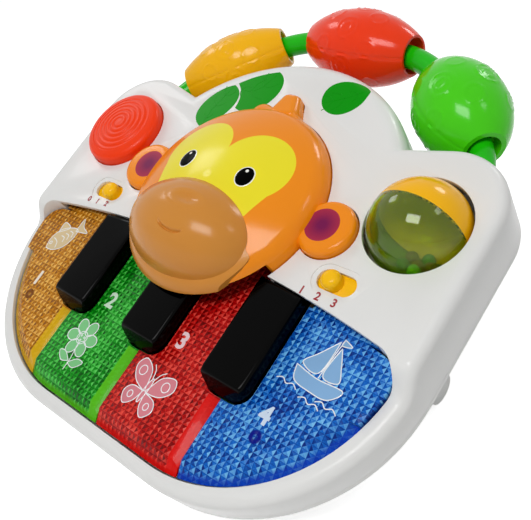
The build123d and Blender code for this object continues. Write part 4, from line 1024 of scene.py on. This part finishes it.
def domeHeight(x, y):
    out = math.hypot(x, y - dome["y"]) - (dome["radius"] - dome["edge"])
    if out <= 0:
        return 0.0
    return -dome["edge"] + math.sqrt(max(dome["edge"] ** 2 - out ** 2, 0))


leafVeins = [
    {"spine": [(-49, 61), (-50, 72), (-48, 83), (-46, 92)], "reach": 6.5},
    {"spine": [(-44.5, 93.5), (-36, 90), (-28, 94), (-23, 106)], "reach": 9.0},
    {"spine": [(36, 106.5), (28, 100), (21, 96), (14.5, 93)], "reach": 7.5},
]
veinLines = []
for leaf in leafVeins:
    spine = curvedLine(leaf["spine"])
    veinLines.append((spine[veins["bareEnd"]:-veins["bareEnd"]], False))
    for i in range(veins["firstRib"], len(spine) - veins["firstRib"], veins["step"]):
        (x, y), (nx, ny) = spine[i], spine[i + 1]
        long = math.hypot(nx - x, ny - y)
        dx, dy = (nx - x) / long, (ny - y) / long
        room = leaf["reach"] * math.sin(math.pi * i / len(spine))
        for side in (-1, 1):
            rib = [(x, y)]
            for on, out in (veins["ribMiddle"], veins["ribEnd"]):
                rib.append((x + room * (on * dx - side * out * dy),
                            y + room * (on * dy + side * out * dx)))
            veinLines.append((curvedLine(rib), False))
drawLines("leaf_veins", veinLines, veins["width"], 0.0, materials["leaf_green"], "case",
          drape=lambda x, y: domeHeight(x, y) - veins["sink"])
print("drew the prints, numbers and veins")


# camera, floor and light

camera = {
    "place": (0.2504, -0.24898, 0.2521),
    "right": (0.73046713, 0.68204288, -0.03514649),
    "up": (-0.30153486, 0.36826339, 0.87946507),
    "back": (0.61277606, -0.63182243, 0.47466401),
    "lens": 51.22,
    "sensor": 36,
    "near": 0.01,
}
eye = newObject("camera", bpy.data.cameras.new("camera"))
turn = Matrix((camera["right"], camera["up"], camera["back"])).transposed().to_4x4()
eye.matrix_world = Matrix.Translation(camera["place"]) @ turn
eye.data.lens = camera["lens"]
eye.data.sensor_width = camera["sensor"]
eye.data.clip_start = camera["near"]
bpy.context.scene.camera = eye

studio = {"floorHalf": 6.0, "floorCells": 8, "floor": (0.82, 0.82, 0.82), "lift": 0.7, "ambient": 0.2,
          "backdrop": 1.0, "middle": (0, 0, 0.1)}


def seenRays(tree):
    # 1 where the camera, a reflection or clear plastic shows the surroundings
    rays = tree.nodes.new("ShaderNodeLightPath")
    seen = rays.outputs["Is Camera Ray"]
    for ray in ("Is Glossy Ray", "Is Transmission Ray"):
        seen = mathNode(tree, "ADD", seen, rays.outputs[ray], clamp=True)
    return seen


def makeFloor():
    bm = bmesh.new()
    bmesh.ops.create_grid(bm, x_segments=studio["floorCells"], y_segments=studio["floorCells"],
                          size=studio["floorHalf"])
    mesh = meshFrom("floor", bm)
    floor = newObject("floor", mesh)
    paint = plastic("floorPaint", studio["floor"], roughness=0.8, tone=0.0, grain=0.0)
    tree = paint.node_tree
    shader = tree.nodes["Principled BSDF"]
    setInputs(shader, Emission_Color=(1, 1, 1, 1))
    tree.links.new(mathNode(tree, "MULTIPLY", seenRays(tree), studio["lift"]),
                   shader.inputs["Emission Strength"])
    mesh.materials.append(paint)


makeFloor()


# softboxes: where each hangs, in degrees and metres from the toy, its size and its power
boxes = {
    "keyBox": {"turn": 15, "rise": 47, "away": 1.2, "width": 0.56, "height": 0.36, "power": 8.4},
    "backBox": {"turn": 175, "rise": 42, "away": 1.3, "width": 0.3, "height": 0.24, "power": 2.4},
    "rightBox": {"turn": 95, "rise": 52, "away": 1.2, "width": 0.22, "height": 0.22, "power": 0.9},
    "leftBox": {"turn": -90, "rise": 40, "away": 1.3, "width": 0.3, "height": 0.3, "power": 1.8},
}


def softbox(name, box):
    lamp = bpy.data.lights.new(name, "AREA")
    lamp.shape = "RECTANGLE"
    lamp.size = box["width"]
    lamp.size_y = box["height"]
    lamp.energy = box["power"]
    holder = newObject(name, lamp)
    turn, rise = math.radians(box["turn"]), math.radians(box["rise"])
    aim = Vector((math.sin(turn) * math.cos(rise), -math.cos(turn) * math.cos(rise), math.sin(rise)))
    holder.location = Vector(studio["middle"]) + aim * box["away"]
    holder.rotation_euler = aim.to_track_quat("Z", "Y").to_euler()


for name, box in boxes.items():
    softbox(name, box)

world = bpy.data.worlds.new("studio")
bpy.context.scene.world = world
world.use_nodes = True
sky = world.node_tree
background = sky.nodes["Background"]
setInputs(background, Color=(1, 1, 1, 1))
sky.links.new(mapRange(sky, seenRays(sky), 0, 1, studio["ambient"], studio["backdrop"]),
              background.inputs["Strength"])

bpy.context.scene.view_settings.view_transform = "Standard"
print("set the studio")
